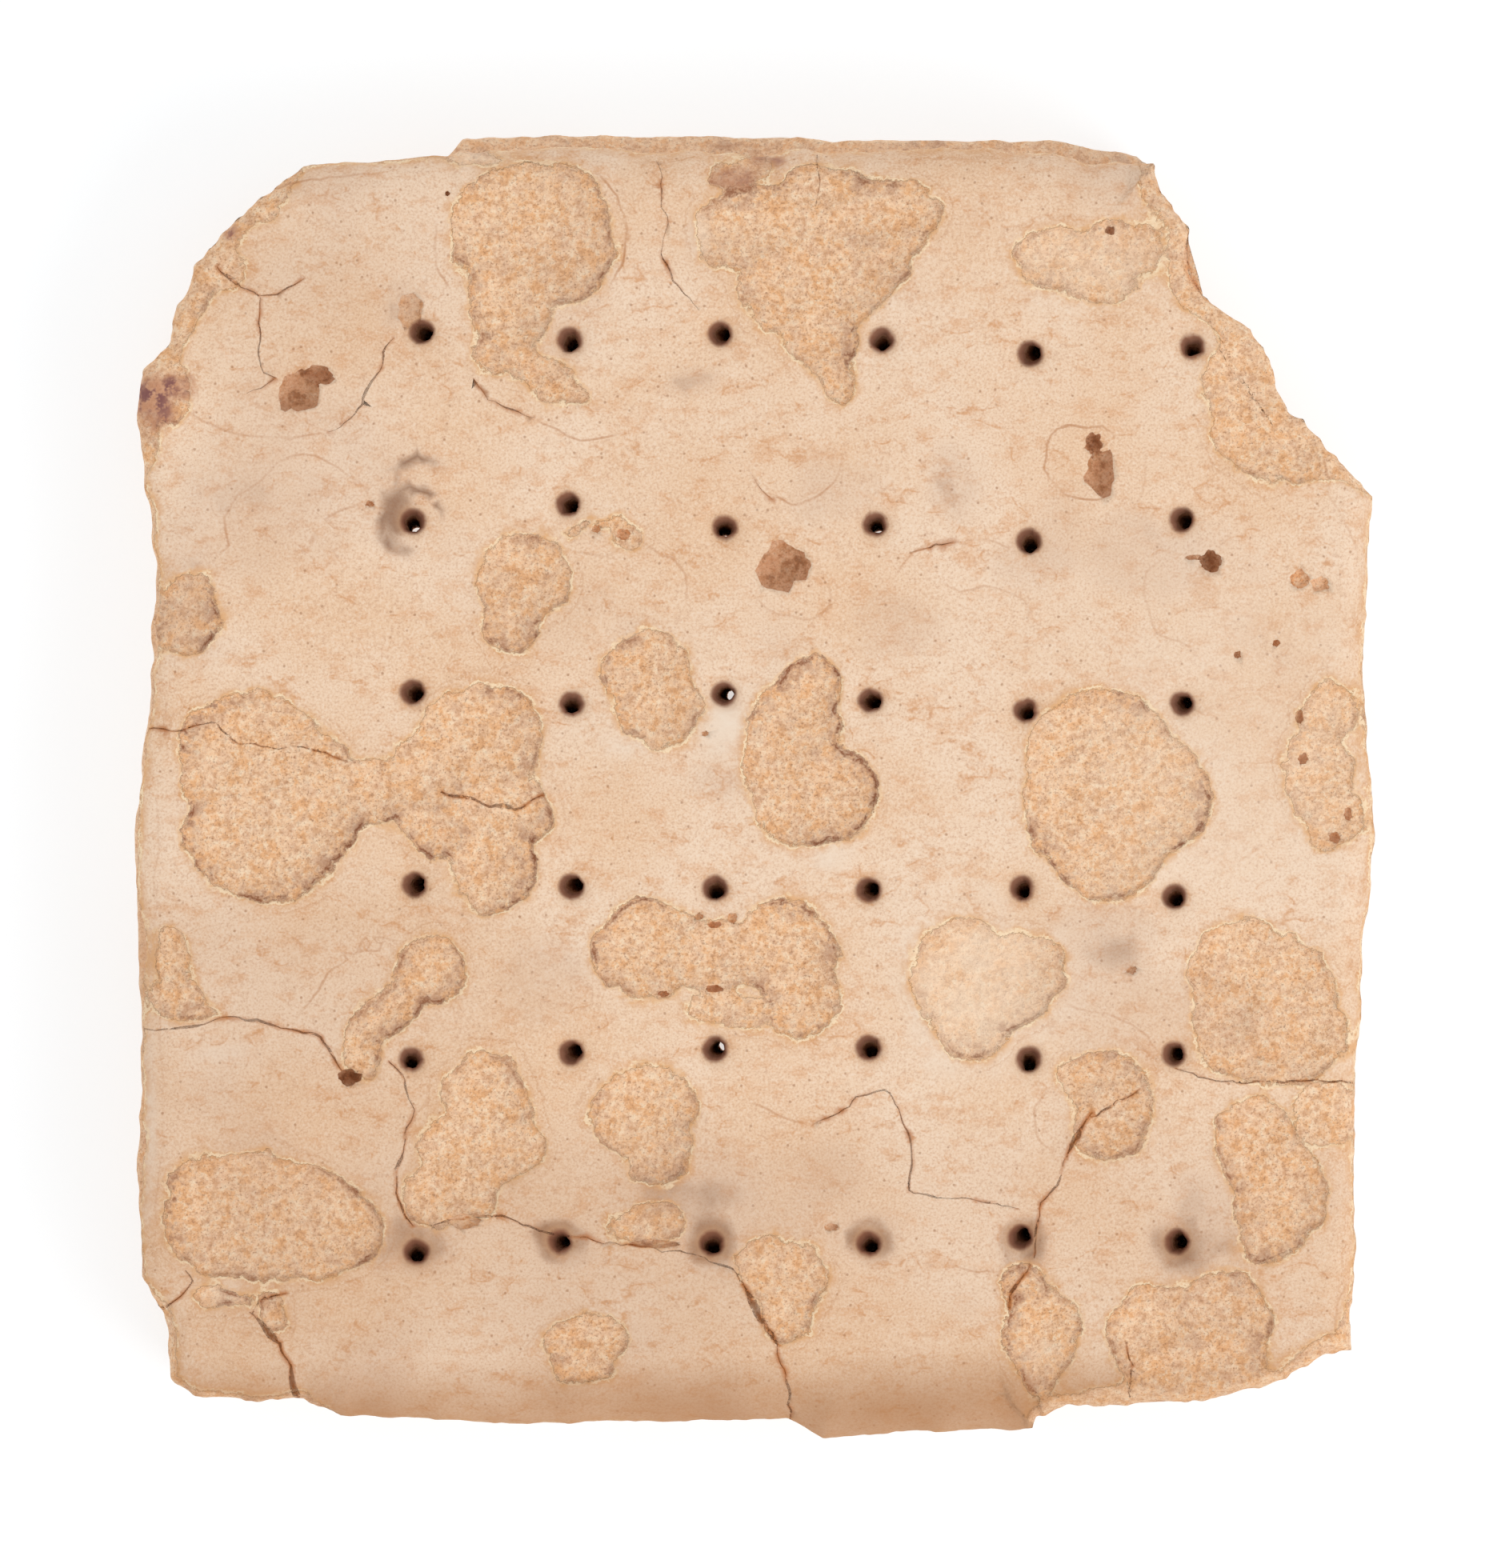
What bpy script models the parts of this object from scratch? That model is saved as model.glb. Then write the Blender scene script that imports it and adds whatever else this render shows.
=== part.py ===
"""Hardtack: a square army cracker, docked six by six, with broken corners and flaked skin.

Sizes are millimetres in plan (+X right and +Y up as the picture shows it). The objects are built in
metres, +Z up, with the flat underside on z = 0. The one sub-part is a solid whose edge is lofted from
rings. Its docker holes, flaked patches, burst bubbles and cracks are cut by one Boolean.
"""
import math

import bmesh
import bpy
import numpy as np
from mathutils import Vector
from mathutils.geometry import delaunay_2d_cdt

MM = 0.001

# Overall size
WIDTH = 74.5
LENGTH = 78.3
THICKNESS = 11.5
CROWN = 0.9          # how much lower the top face lies at the corners than in the middle
SWAY = 0.22          # how far the top face waves up and down

# Heights of the side's rings
CHAMFER_TOP = 0.8
LOWER_BULGE = 2.8
LOWER_TOP = 4.8
CREVICE = 5.5
UPPER_FOOT = 6.4
BASE_INSET = 1.0
CREVICE_INSET = 0.30
CREVICE_SWAY = 0.7   # how far the crevice between the layers wanders up and down

# Spacing of the mesh
EDGE_STEP = 1.7
TOP_STEP = 2.9
BASE_STEP = 9.0

# The edge, counterclockwise from the right end of the top side. Each run has its name, how far its
# line strays, how far in the top face starts to fall, how far it falls there, how far the lower layer
# stands out past the skin, how rough its side is, and its corner points.
EDGE_RUNS = [
    ("top side", 0.10, 3.6, 2.3, 1.1, 0.15,
     [(23.2, 37.9), (17.8, 38.7), (7.4, 38.7), (-1.5, 39.0), (-17.5, 39.0)]),
    ("top left shoulder", 0.10, 3.0, 1.8, 0.3, 0.15,
     [(-18.4, 37.9), (-24.0, 37.4), (-27.0, 37.0)]),
    ("top left break", 0.25, 0.9, 0.8, 0.2, 0.40,
     [(-29.3, 35.2), (-32.2, 32.9), (-33.6, 30.9), (-34.9, 26.4), (-36.7, 24.6), (-37.0, 22.0)]),
    ("left side", 0.12, 1.7, 1.2, 0.6, 0.20,
     [(-36.1, 13.4), (-36.4, 6.2), (-37.2, -2.4), (-37.1, -24.0), (-36.9, -29.8)]),
    ("lower left break", 0.20, 1.6, 1.3, 0.1, 0.30,
     [(-35.4, -31.7), (-34.8, -35.5), (-33.4, -36.4), (-30.1, -37.0), (-26.9, -36.9)]),
    ("bottom side", 0.10, 4.2, 3.0, 0.0, 0.15,
     [(-24.7, -37.8), (-13.7, -38.3), (2.1, -38.0), (4.2, -39.2), (9.7, -38.7), (16.8, -38.7)]),
    ("lower right break", 0.25, 1.4, 1.2, 0.3, 0.40,
     [(17.1, -38.1), (19.7, -37.3), (26.3, -37.1), (30.5, -36.4), (33.3, -35.1), (35.9, -33.9)]),
    ("right side", 0.12, 1.9, 1.3, 0.1, 0.20,
     [(36.1, -29.8), (36.0, -22.6), (36.5, -10.6), (37.2, -2.9), (36.6, 5.7), (37.1, 17.1)]),
    ("top right break", 0.30, 0.8, 0.6, 0.1, 0.45,
     [(35.5, 18.8), (33.0, 21.7), (32.0, 22.0), (29.9, 27.2), (27.4, 28.6), (26.1, 30.4),
      (25.8, 33.1), (24.2, 35.3), (24.0, 37.3)]),
]

# Docker holes: an even grid of pins, and how far each pin's hole strays from it, row by row
HOLE_COUNT = 6
HOLE_PITCH = (9.15, 10.79)
HOLE_CENTRE = (2.64, -0.42)
HOLE_RADII = (0.55, 0.65, 1.0)      # at the underside, a little below the mouth, and at the mouth
HOLE_SIDES = 8
HOLE_STRAYS = [
    [(0.5, 0.4), (0.2, -0.1), (0.0, 0.3), (0.5, -0.1), (0.2, -0.9), (0.7, -0.5)],
    [(0.0, -0.1), (0.1, 0.9), (0.3, -0.5), (0.1, -0.3), (0.1, -1.3), (0.1, 0.0)],
    [(0.0, 0.5), (0.3, -0.2), (0.2, 0.4), (-0.2, 0.0), (-0.1, -0.6), (0.1, -0.2)],
    [(0.1, -0.2), (0.3, -0.3), (-0.3, -0.4), (-0.3, -0.5), (-0.3, -0.4), (-0.4, -0.9)],
    [(-0.1, 0.2), (0.3, 0.6), (-0.3, 0.8), (-0.3, 0.9), (0.1, 0.2), (-0.4, 0.5)],
    [(0.2, -0.5), (-0.4, 0.1), (-0.5, 0.0), (-0.3, 0.0), (-0.4, 0.4), (-0.2, 0.1)],
]

# Patches where the skin has flaked off: depth, then lobes of centre x, y, half widths and turn
PATCHES = {
    "upper left": (0.55, [(-13.1, 33.0, 5.0, 4.3, 0), (-14.2, 27.8, 2.3, 3.6, 0), (-12.0, 24.0, 2.4, 1.1, -25)]),
    "upper middle": (0.60, [(2.9, 33.8, 5.9, 3.4, 0), (8.2, 33.6, 3.0, 2.6, 0), (4.3, 29.2, 4.2, 3.4, 0),
                            (4.8, 25.6, 1.2, 2.4, 0)]),
    "upper right": (0.55, [(19.4, 31.2, 3.9, 2.0, -6), (21.0, 30.1, 2.0, 1.6, 0)]),
    "right corner": (0.60, [(29.6, 23.0, 2.2, 3.2, 15), (30.7, 20.1, 3.1, 2.3, 0)]),
    "left small": (0.60, [(-33.4, 10.0, 1.7, 2.3, -10)]),
    "upper oval": (0.50, [(-13.7, 12.2, 2.7, 2.9, 0), (-14.4, 9.3, 1.4, 1.6, 0)]),
    "bow tie": (0.60, [(-29.4, -0.8, 5.1, 6.4, 4), (-22.6, -0.3, 3.4, 2.2, 0), (-16.1, 1.4, 3.9, 4.4, 0),
                       (-15.7, -3.9, 3.4, 3.8, 0)]),
    "middle": (0.50, [(-6.3, 6.8, 2.6, 2.5, 0), (-5.5, 4.3, 2.3, 2.2, 0)]),
    "centre right": (0.65, [(2.2, 3.6, 2.6, 3.5, 0), (4.3, -0.3, 3.1, 3.4, 25)]),
    "right big": (0.65, [(20.9, 1.2, 4.4, 4.4, 0), (23.3, -0.5, 3.9, 4.0, 0), (21.1, -4.1, 3.2, 2.9, 0)]),
    "right strip": (0.45, [(33.6, 3.1, 1.4, 2.9, 0), (34.6, -1.5, 1.5, 2.3, 0)]),
    "centre low": (0.55, [(-6.5, -9.6, 3.2, 2.9, 0), (-2.2, -10.1, 2.9, 2.3, 0), (2.2, -10.6, 3.1, 4.2, 8)]),
    "heart": (0.50, [(12.4, -10.8, 2.8, 2.9, 0), (15.9, -11.5, 2.5, 2.4, 0), (12.7, -14.0, 2.5, 2.6, 0)]),
    "right low": (0.60, [(29.4, -11.2, 3.4, 3.2, 0), (32.4, -14.7, 3.2, 3.1, 0), (28.1, -14.7, 2.0, 2.6, 0)]),
    "right lower": (0.60, [(30.6, -21.4, 2.7, 2.7, 0), (31.7, -24.5, 2.8, 3.2, 0)]),
    "crack patch": (0.50, [(20.9, -17.7, 2.2, 1.9, 0), (21.4, -20.7, 2.3, 2.0, 0)]),
    "lower right corner": (0.60, [(24.0, -32.2, 2.9, 2.5, 0), (27.8, -31.5, 3.2, 2.5, 0),
                                  (25.4, -34.8, 3.6, 2.1, 0)]),
    "lower right small": (0.50, [(17.3, -32.9, 2.3, 2.9, 0)]),
    "crack lobe": (0.50, [(1.8, -28.9, 2.8, 2.1, -12), (2.2, -31.5, 1.2, 1.6, 0)]),
    "lower left middle": (0.50, [(-15.7, -18.7, 3.0, 3.1, 0), (-17.0, -22.1, 3.6, 2.9, 0)]),
    "lower centre": (0.55, [(-6.3, -20.0, 3.0, 3.3, 0)]),
    "lower left big": (0.60, [(-30.5, -25.7, 4.5, 3.6, 0), (-25.9, -26.4, 3.6, 2.7, -12)]),
    "left low band": (0.45, [(-19.0, -10.8, 1.7, 1.8, 0), (-21.0, -12.8, 2.1, 1.3, 35)]),
    "bottom small": (0.55, [(-9.8, -33.6, 2.5, 2.1, 0)]),
    "left corner": (0.40, [(-29.8, 30.4, 2.1, 1.2, -35)]),
}
UNDERSIDE_PATCHES = (0.45, [(-22.0, 14.0, 6.0, 4.5, 10), (-17.0, 18.5, 4.0, 3.0, 0), (14.0, -20.0, 5.5, 4.5, 0),
                            (20.0, 17.0, 4.0, 5.0, 20), (-16.0, -24.0, 4.5, 3.5, -15), (27.0, -7.0, 3.0, 4.0, 0)])
PATCH_STEP = 1.9     # spacing of a patch's outline points
PATCH_SLOPE = 0.35   # how far its floor's edge lies inside its rim
PATCH_RAGGED = 0.07  # how far its outline strays, as a share of its size

# Bubbles that have burst under the skin: centre x, y, half widths and depth
BUBBLES = [
    (1.7, 13.0, 1.6, 1.5, 1.6),
    (20.6, 18.9, 1.1, 1.8, 1.6),
    (-27.1, 23.5, 1.4, 1.4, 1.7),
    (27.3, 13.3, 0.65, 0.7, 1.5),
    (-23.9, -17.6, 0.7, 0.5, 1.2),
]

# Open cracks: width, depth and the points where they turn
CRACKS = {
    "upper left": (0.35, 1.3, [(-31.8, 30.8), (-29.5, 28.9), (-29.5, 26.4), (-29.2, 24.4), (-29.9, 23.1)]),
    "below the left bubble": (0.30, 1.2, [(-21.4, 27.0), (-22.2, 24.8), (-23.8, 22.0), (-26.2, 20.8)]),
    "low left": (0.35, 1.3, [(-21.0, -16.7), (-20.4, -20.5), (-20.9, -23.5), (-19.9, -26.7)]),
    "to the left edge": (0.30, 1.2, [(-37.6, -14.2), (-33.0, -14.6), (-27.8, -14.6), (-25.0, -15.9)]),
    "to the bottom edge": (0.45, 2.0, [(0.2, -30.6), (1.6, -33.3), (2.1, -35.4), (2.1, -39.6)]),
    "lower right": (0.55, 1.8, [(23.4, -17.6), (20.4, -19.3), (18.3, -23.0), (17.0, -25.7), (16.6, -28.2),
                                (15.0, -31.4)]),
    "lower middle": (0.30, 1.0, [(-15.0, -25.7), (-11.4, -27.2), (-5.6, -27.1), (-2.2, -28.9), (0.0, -30.4)]),
    "lower left corner": (0.50, 1.8, [(-30.3, -31.3), (-28.2, -33.0), (-27.1, -34.8), (-27.0, -37.4)]),
}

# The scorched lump on the left edge: centre, half width and height
LUMP = (-35.4, 23.2, 2.0, 0.5)

DOUGH_COLOUR = (0.768, 0.521, 0.342, 1.0)
DOUGH_ROUGHNESS = 0.9

NOISE_CELLS = 64


def value_noise(x, y, cell, seed):
    """Smooth noise from -1 to 1 over x and y, with the given cell size."""
    table = np.random.default_rng(seed).uniform(-1.0, 1.0, (NOISE_CELLS, NOISE_CELLS))
    u = np.asarray(x, float) / cell + NOISE_CELLS / 2
    v = np.asarray(y, float) / cell + NOISE_CELLS / 2
    i = np.floor(u).astype(int)
    j = np.floor(v).astype(int)
    s = (u - i) ** 2 * (3 - 2 * (u - i))
    t = (v - j) ** 2 * (3 - 2 * (v - j))
    i0 = i % NOISE_CELLS
    j0 = j % NOISE_CELLS
    i1 = (i + 1) % NOISE_CELLS
    j1 = (j + 1) % NOISE_CELLS
    low = table[i0, j0] * (1 - s) + table[i1, j0] * s
    high = table[i0, j1] * (1 - s) + table[i1, j1] * s
    return low * (1 - t) + high * t


def crown_height(x, y):
    """Height of the top face before its edges fall away."""
    x = np.asarray(x, float)
    y = np.asarray(y, float)
    fall = CROWN * ((2 * x / WIDTH) ** 2 + (2 * y / LENGTH) ** 2) / 2
    lump_x, lump_y, lump_size, lump_height = LUMP
    lump = lump_height * np.exp(-((x - lump_x) ** 2 + (y - lump_y) ** 2) / lump_size ** 2)
    return THICKNESS - fall + SWAY * value_noise(x, y, 13.0, 11) + lump


def edge_stations():
    """Walk the edge runs: an array of x, y, shoulder, drop, ledge and roughness, one row a station."""
    corners = [(x, y, wander, shoulder, drop, ledge, rough)
               for _, wander, shoulder, drop, ledge, rough, points in EDGE_RUNS for x, y in points]
    rows = []
    for here, there in zip(corners, corners[1:] + corners[:1]):
        length = math.dist(here[:2], there[:2])
        steps = max(1, round(length / EDGE_STEP))
        for step in range(steps):
            share = step / steps
            rows.append([a + (b - a) * share for a, b in zip(here, there)])
    table = np.array(rows)
    places = table[:, :2]
    along = np.roll(places, -1, axis=0) - np.roll(places, 1, axis=0)
    outward = np.stack([along[:, 1], -along[:, 0]], axis=1)
    outward /= np.linalg.norm(outward, axis=1, keepdims=True)
    stray = table[:, 2] * (value_noise(places[:, 0], places[:, 1], 2.3, 21) + 0.6 * value_noise(
        places[:, 0], places[:, 1], 1.1, 22))
    places = places + outward * stray[:, None]
    low = places.min(axis=0)
    high = places.max(axis=0)
    places = (places - (low + high) / 2) * np.array([WIDTH, LENGTH]) / (high - low)
    return np.hstack([places, table[:, 3:]])


def inward(places):
    """Unit directions in from the edge: the slope of a squarish bowl, so that no two of them cross."""
    slope = np.stack([(2 * places[:, 0] / WIDTH) ** 3 / WIDTH, (2 * places[:, 1] / LENGTH) ** 3 / LENGTH], axis=1)
    return -slope / np.linalg.norm(slope, axis=1, keepdims=True)


def edge_rings(stations):
    """The side as rings of points, from the underside's rim up to the skin's edge."""
    places = stations[:, :2]
    shoulder, drop, ledge, rough = stations[:, 2:].T
    towards = inward(places)
    skin_height = crown_height(places[:, 0], places[:, 1]) - drop
    level = np.ones(len(places))
    sway = CREVICE_SWAY * value_noise(places[:, 0], places[:, 1], 6.0, 12)
    profile = [
        (BASE_INSET * level, 0.0 * level),
        (0.35 * level, CHAMFER_TOP * level),
        (0.0 * level, LOWER_BULGE * level),
        (0.05 * level, LOWER_TOP + sway),
        (CREVICE_INSET + ledge, CREVICE + sway),
        (0.05 + ledge, UPPER_FOOT + sway),
        (ledge, skin_height),
    ]
    rings = []
    for number, (inset, height) in enumerate(profile):
        if number != 2:
            inset = inset + rough * (1 + value_noise(places[:, 0], places[:, 1], 2.0, 30 + number))
        ring = places + towards * inset[:, None]
        rings.append(np.column_stack([ring, height]))
    return rings


def top_height(points, stations, skin_edge):
    """Height of the top face: the crown, less its fall by the nearest stretch of the skin's edge."""
    gaps = np.linalg.norm(points[:, None, :2] - skin_edge[None, :, :2], axis=2)
    nearest = gaps.argmin(axis=1)
    shoulder = stations[nearest, 2]
    drop = stations[nearest, 3]
    share = 1 - np.clip(gaps.min(axis=1) / shoulder, 0, 1)
    return crown_height(points[:, 0], points[:, 1]) - drop * (1 - np.sqrt(1 - share ** 2))


def grid_inside(ring, step, margin):
    """Points of a staggered grid that lie inside a ring of points, at least margin from it."""
    columns = np.arange(-WIDTH / 2, WIDTH / 2, step)
    lines = np.arange(-LENGTH / 2, LENGTH / 2, step * 0.87)
    grid = np.array([(x + step / 2 * (row % 2), y) for row, y in enumerate(lines) for x in columns])
    start = ring[:, :2]
    end = np.roll(start, -1, axis=0)
    inside = np.zeros(len(grid), bool)
    for (x0, y0), (x1, y1) in zip(start, end):
        if y0 != y1:
            crossing = (grid[:, 1] > min(y0, y1)) & (grid[:, 1] <= max(y0, y1))
            inside ^= crossing & (grid[:, 0] < x0 + (grid[:, 1] - y0) / (y1 - y0) * (x1 - x0))
    far = np.linalg.norm(grid[:, None] - start[None], axis=2).min(axis=1) > margin
    return grid[inside & far]


def fill(ring, inner):
    """Triangles over a ring and the points inside it, as index triples into ring, then inner."""
    flat = [Vector(p[:2]) for p in ring] + [Vector(p[:2]) for p in inner]
    border = [list(range(len(ring)))]
    _, _, faces, origins, _, _ = delaunay_2d_cdt(flat, [], border, 1, 1e-7)
    return [tuple(origins[corner][0] for corner in face) for face in faces]


def loft_faces(levels, count, closed=True):
    """Triangles between rings of count points that lie one after another in a vertex list."""
    faces = []
    for level in range(levels - 1):
        low = level * count
        high = low + count
        for i in range(count if closed else count - 1):
            j = (i + 1) % count
            faces += [(low + i, low + j, high + j), (low + i, high + j, high + i)]
    return faces


def make_object(name, points, faces, collection):
    """A mesh object from points in millimetres, with its faces turned outward."""
    mesh = bpy.data.meshes.new(name)
    shape = bmesh.new()
    vertices = [shape.verts.new(Vector(p) * MM) for p in points]
    for face in faces:
        shape.faces.new([vertices[i] for i in face])
    bmesh.ops.recalc_face_normals(shape, faces=shape.faces)
    shape.to_mesh(mesh)
    shape.free()
    made = bpy.data.objects.new(name, mesh)
    collection.objects.link(made)
    return made


def make_lofted_cutter(name, rings, collection):
    """A closed cutter through rings of points, each end closed by a fan to its middle."""
    count = len(rings[0])
    points = [tuple(p) for ring in rings for p in ring]
    faces = loft_faces(len(rings), count)
    for start in (0, (len(rings) - 1) * count):
        hub = len(points)
        points.append(tuple(np.mean(points[start:start + count], axis=0)))
        faces += [(start + i, start + (i + 1) % count, hub) for i in range(count)]
    cutter = make_object(name, points, faces, collection)
    cutter.hide_render = True
    cutter.display_type = "WIRE"
    return cutter


def make_hardtack_body(stations, rings, collection):
    """The whole cracker before anything is cut: its edge rings, top face and flat underside."""
    count = len(stations)
    skin_edge = rings[-1]
    towards = inward(stations[:, :2])
    shelf = skin_edge[:, :2] + towards * (0.35 * stations[:, 2])[:, None]
    middle = grid_inside(skin_edge, TOP_STEP, 2.2)
    top_inner = np.vstack([shelf, middle])
    top_inner = np.column_stack([top_inner, top_height(top_inner, stations, skin_edge)])
    base_inner = grid_inside(rings[0], BASE_STEP, 3.0)
    base_inner = np.column_stack([base_inner, np.zeros(len(base_inner))])

    points = np.vstack(rings + [top_inner, base_inner])
    top_start = count * (len(rings) - 1)
    base_start = count * len(rings) + len(top_inner)
    faces = loft_faces(len(rings), count)
    faces += [tuple(top_start + i for i in face) for face in fill(skin_edge, top_inner)]
    for face in fill(rings[0], base_inner):
        faces.append(tuple(i if i < count else base_start + i - count for i in face))
    return make_object("hardtack", points, faces, collection)


def make_docker_holes(collection):
    """One tapering pin hole for each crossing of the docker's grid, cut right through."""
    below, mid, mouth = HOLE_RADII
    turns = np.arange(HOLE_SIDES) * 2 * math.pi / HOLE_SIDES
    circle = np.stack([np.cos(turns), np.sin(turns)], axis=1)
    for row, strays in enumerate(HOLE_STRAYS):
        for column, (stray_x, stray_y) in enumerate(strays):
            x = HOLE_CENTRE[0] + (column - (HOLE_COUNT - 1) / 2) * HOLE_PITCH[0] + stray_x
            y = HOLE_CENTRE[1] - (row - (HOLE_COUNT - 1) / 2) * HOLE_PITCH[1] + stray_y
            top = float(crown_height(x, y))
            levels = [(-1.0, below), (top - 1.6, mid), (top, mouth), (top + 1.0, mouth * 1.4)]
            rings = [np.column_stack([circle * radius + (x, y), np.full(HOLE_SIDES, z)]) for z, radius in levels]
            make_lofted_cutter(f"docker_hole_{row + 1}_{column + 1}", rings, collection)


def lobe_outline(lobe, grow, seed):
    """Points round a ragged, turned ellipse, grown by a distance."""
    x, y, half_x, half_y, turn = lobe
    sides = max(8, round(math.pi * (half_x + half_y) / PATCH_STEP))
    angles = np.arange(sides) * 2 * math.pi / sides
    ragged = 1 + PATCH_RAGGED * np.random.default_rng(seed).uniform(-1, 1, sides)
    across = (half_x * ragged + grow) * np.cos(angles)
    up = (half_y * ragged + grow) * np.sin(angles)
    turn = math.radians(turn)
    return np.stack([x + across * math.cos(turn) - up * math.sin(turn),
                     y + across * math.sin(turn) + up * math.cos(turn)], axis=1)


def make_patch_cutter(name, lobe, depth, seed, stations, skin_edge, collection):
    """A shallow dish whose floor follows the top face, with a sloping rim."""
    rings = []
    for grow, height in ((-PATCH_SLOPE, -depth), (0.0, 0.0), (PATCH_SLOPE, depth)):
        ring = lobe_outline(lobe, grow, seed)
        rings.append(np.column_stack([ring, top_height(ring, stations, skin_edge) + height]))
    make_lofted_cutter(name, rings, collection)


def make_patches(stations, skin_edge, collection):
    """Every lobe of every flaked patch, with a few on the underside as well."""
    seed = 100
    for name, (depth, lobes) in PATCHES.items():
        for number, lobe in enumerate(lobes):
            seed += 1
            make_patch_cutter(f"patch {name} {number + 1}", lobe, depth + 0.04 * number, seed,
                              stations, skin_edge, collection)
    depth, lobes = UNDERSIDE_PATCHES
    for number, lobe in enumerate(lobes):
        seed += 1
        floor = lobe_outline(lobe, -PATCH_SLOPE, seed)
        rim = lobe_outline(lobe, 0.0, seed)
        height = depth + 0.04 * number
        rings = [np.column_stack([ring, np.full(len(ring), z)]) for ring, z in ((rim, -height), (floor, height))]
        make_lofted_cutter(f"patch underside {number + 1}", rings, collection)


def make_bubbles(collection):
    """Burst bubbles, wider under the skin than at their mouths."""
    for number, (x, y, half_x, half_y, depth) in enumerate(BUBBLES):
        top = float(crown_height(x, y))
        rings = []
        for height, grow in ((-depth, -0.45), (-0.55 * depth, 0.25), (0.0, 0.0), (1.0, 0.0)):
            ring = lobe_outline((x, y, half_x, half_y, 0), grow, 200 + number)
            rings.append(np.column_stack([ring, np.full(len(ring), top + height)]))
        make_lofted_cutter(f"bubble {number + 1}", rings, collection)


def make_cracks(collection):
    """Wedge-shaped cracks that follow their turning points and close at both ends."""
    for name, (width, depth, turns) in CRACKS.items():
        path = np.array(turns)
        along = np.gradient(path, axis=0)
        side = np.stack([-along[:, 1], along[:, 0]], axis=1)
        side /= np.linalg.norm(side, axis=1, keepdims=True)
        open_share = np.ones(len(path))
        open_share[[0, -1]] = 0.45
        rings = []
        for (x, y), (across, up), share in zip(path, side, open_share):
            top = float(crown_height(x, y))
            half = width * share
            rings.append(np.array([
                (x, y, top - depth * share),
                (x + across * half, y + up * half, top + 0.5),
                (x - across * half, y - up * half, top + 0.5),
            ]))
        make_lofted_cutter(f"crack {name}", rings, collection)


def make_dough():
    """The baked dough's material."""
    dough = bpy.data.materials.new("baked_dough")
    dough.use_nodes = True
    shader = dough.node_tree.nodes["Principled BSDF"]
    shader.inputs["Base Color"].default_value = DOUGH_COLOUR
    shader.inputs["Roughness"].default_value = DOUGH_ROUGHNESS
    shader.inputs["Metallic"].default_value = 0.0
    return dough


def clear_scene():
    """Remove what the start-up file holds."""
    for old in list(bpy.data.objects):
        bpy.data.objects.remove(old)


def build():
    """Model the cracker and cut its holes, patches, bubbles and cracks."""
    clear_scene()
    scene = bpy.context.scene.collection
    cutters = bpy.data.collections.new("cutters")
    scene.children.link(cutters)
    stations = edge_stations()
    rings = edge_rings(stations)
    hardtack = make_hardtack_body(stations, rings, scene)
    hardtack.data.materials.append(make_dough())
    make_docker_holes(cutters)
    make_patches(stations, rings[-1], cutters)
    make_bubbles(cutters)
    make_cracks(cutters)
    cut = hardtack.modifiers.new("cut", "BOOLEAN")
    cut.operation = "DIFFERENCE"
    cut.operand_type = "COLLECTION"
    cut.collection = cutters


build()
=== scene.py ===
import math

import bpy
import numpy as np
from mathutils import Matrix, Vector


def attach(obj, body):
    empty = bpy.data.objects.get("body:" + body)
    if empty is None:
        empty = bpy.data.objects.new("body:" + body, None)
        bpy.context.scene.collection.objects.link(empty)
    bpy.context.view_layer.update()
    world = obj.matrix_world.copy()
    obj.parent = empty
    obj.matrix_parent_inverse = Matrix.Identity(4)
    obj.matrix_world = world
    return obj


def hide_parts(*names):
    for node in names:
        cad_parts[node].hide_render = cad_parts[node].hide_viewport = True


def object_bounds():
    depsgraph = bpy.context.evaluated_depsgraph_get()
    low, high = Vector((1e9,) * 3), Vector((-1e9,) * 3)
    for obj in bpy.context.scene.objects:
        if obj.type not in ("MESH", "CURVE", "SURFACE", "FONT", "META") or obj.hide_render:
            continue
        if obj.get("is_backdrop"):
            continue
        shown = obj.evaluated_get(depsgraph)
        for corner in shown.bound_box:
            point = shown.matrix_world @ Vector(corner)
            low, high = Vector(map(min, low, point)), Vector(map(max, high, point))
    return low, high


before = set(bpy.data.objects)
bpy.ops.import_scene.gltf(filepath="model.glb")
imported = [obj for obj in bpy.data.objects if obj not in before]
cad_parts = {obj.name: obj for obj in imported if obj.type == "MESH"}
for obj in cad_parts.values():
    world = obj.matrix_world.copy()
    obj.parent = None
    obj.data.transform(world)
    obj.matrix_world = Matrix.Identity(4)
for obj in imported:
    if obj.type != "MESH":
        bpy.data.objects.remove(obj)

# The look of one old square of hardtack. Sizes are millimetres, +X right and +Y up as the picture shows
# it, with +Z up from the underside. The meshes are written in metres, in the frame's own place.
CAD_LOW, CAD_HIGH = (np.array(corner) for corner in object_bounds())
MM = 0.001
WIDTH, LENGTH = (CAD_HIGH - CAD_LOW)[:2] / MM
THICKNESS = 11.5
CROWN = 0.9           # how much lower the top face lies at the corners than in the middle
SWAY = 0.22           # how far the top face waves up and down

# Heights up the side, and how far in from the edge it lies at the base and in the crevice
CHAMFER_TOP = 0.8
LOWER_BULGE = 2.8
LOWER_TOP = 4.8
CREVICE = 5.5
CREVICE_SWAY = 0.7    # how far the crevice wanders up and down
CREVICE_INSET = 0.30
BASE_INSET = 1.0
OVERLAP = 0.15        # how far below the crevice the upper layer's foot lies
LIP_RISE = 0.1        # how far above it the lower layer's last ring lies

# The lump on the left edge: centre x and y, half width and height
LUMP = (-35.4, 23.2, 2.0, 0.5)

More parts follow.
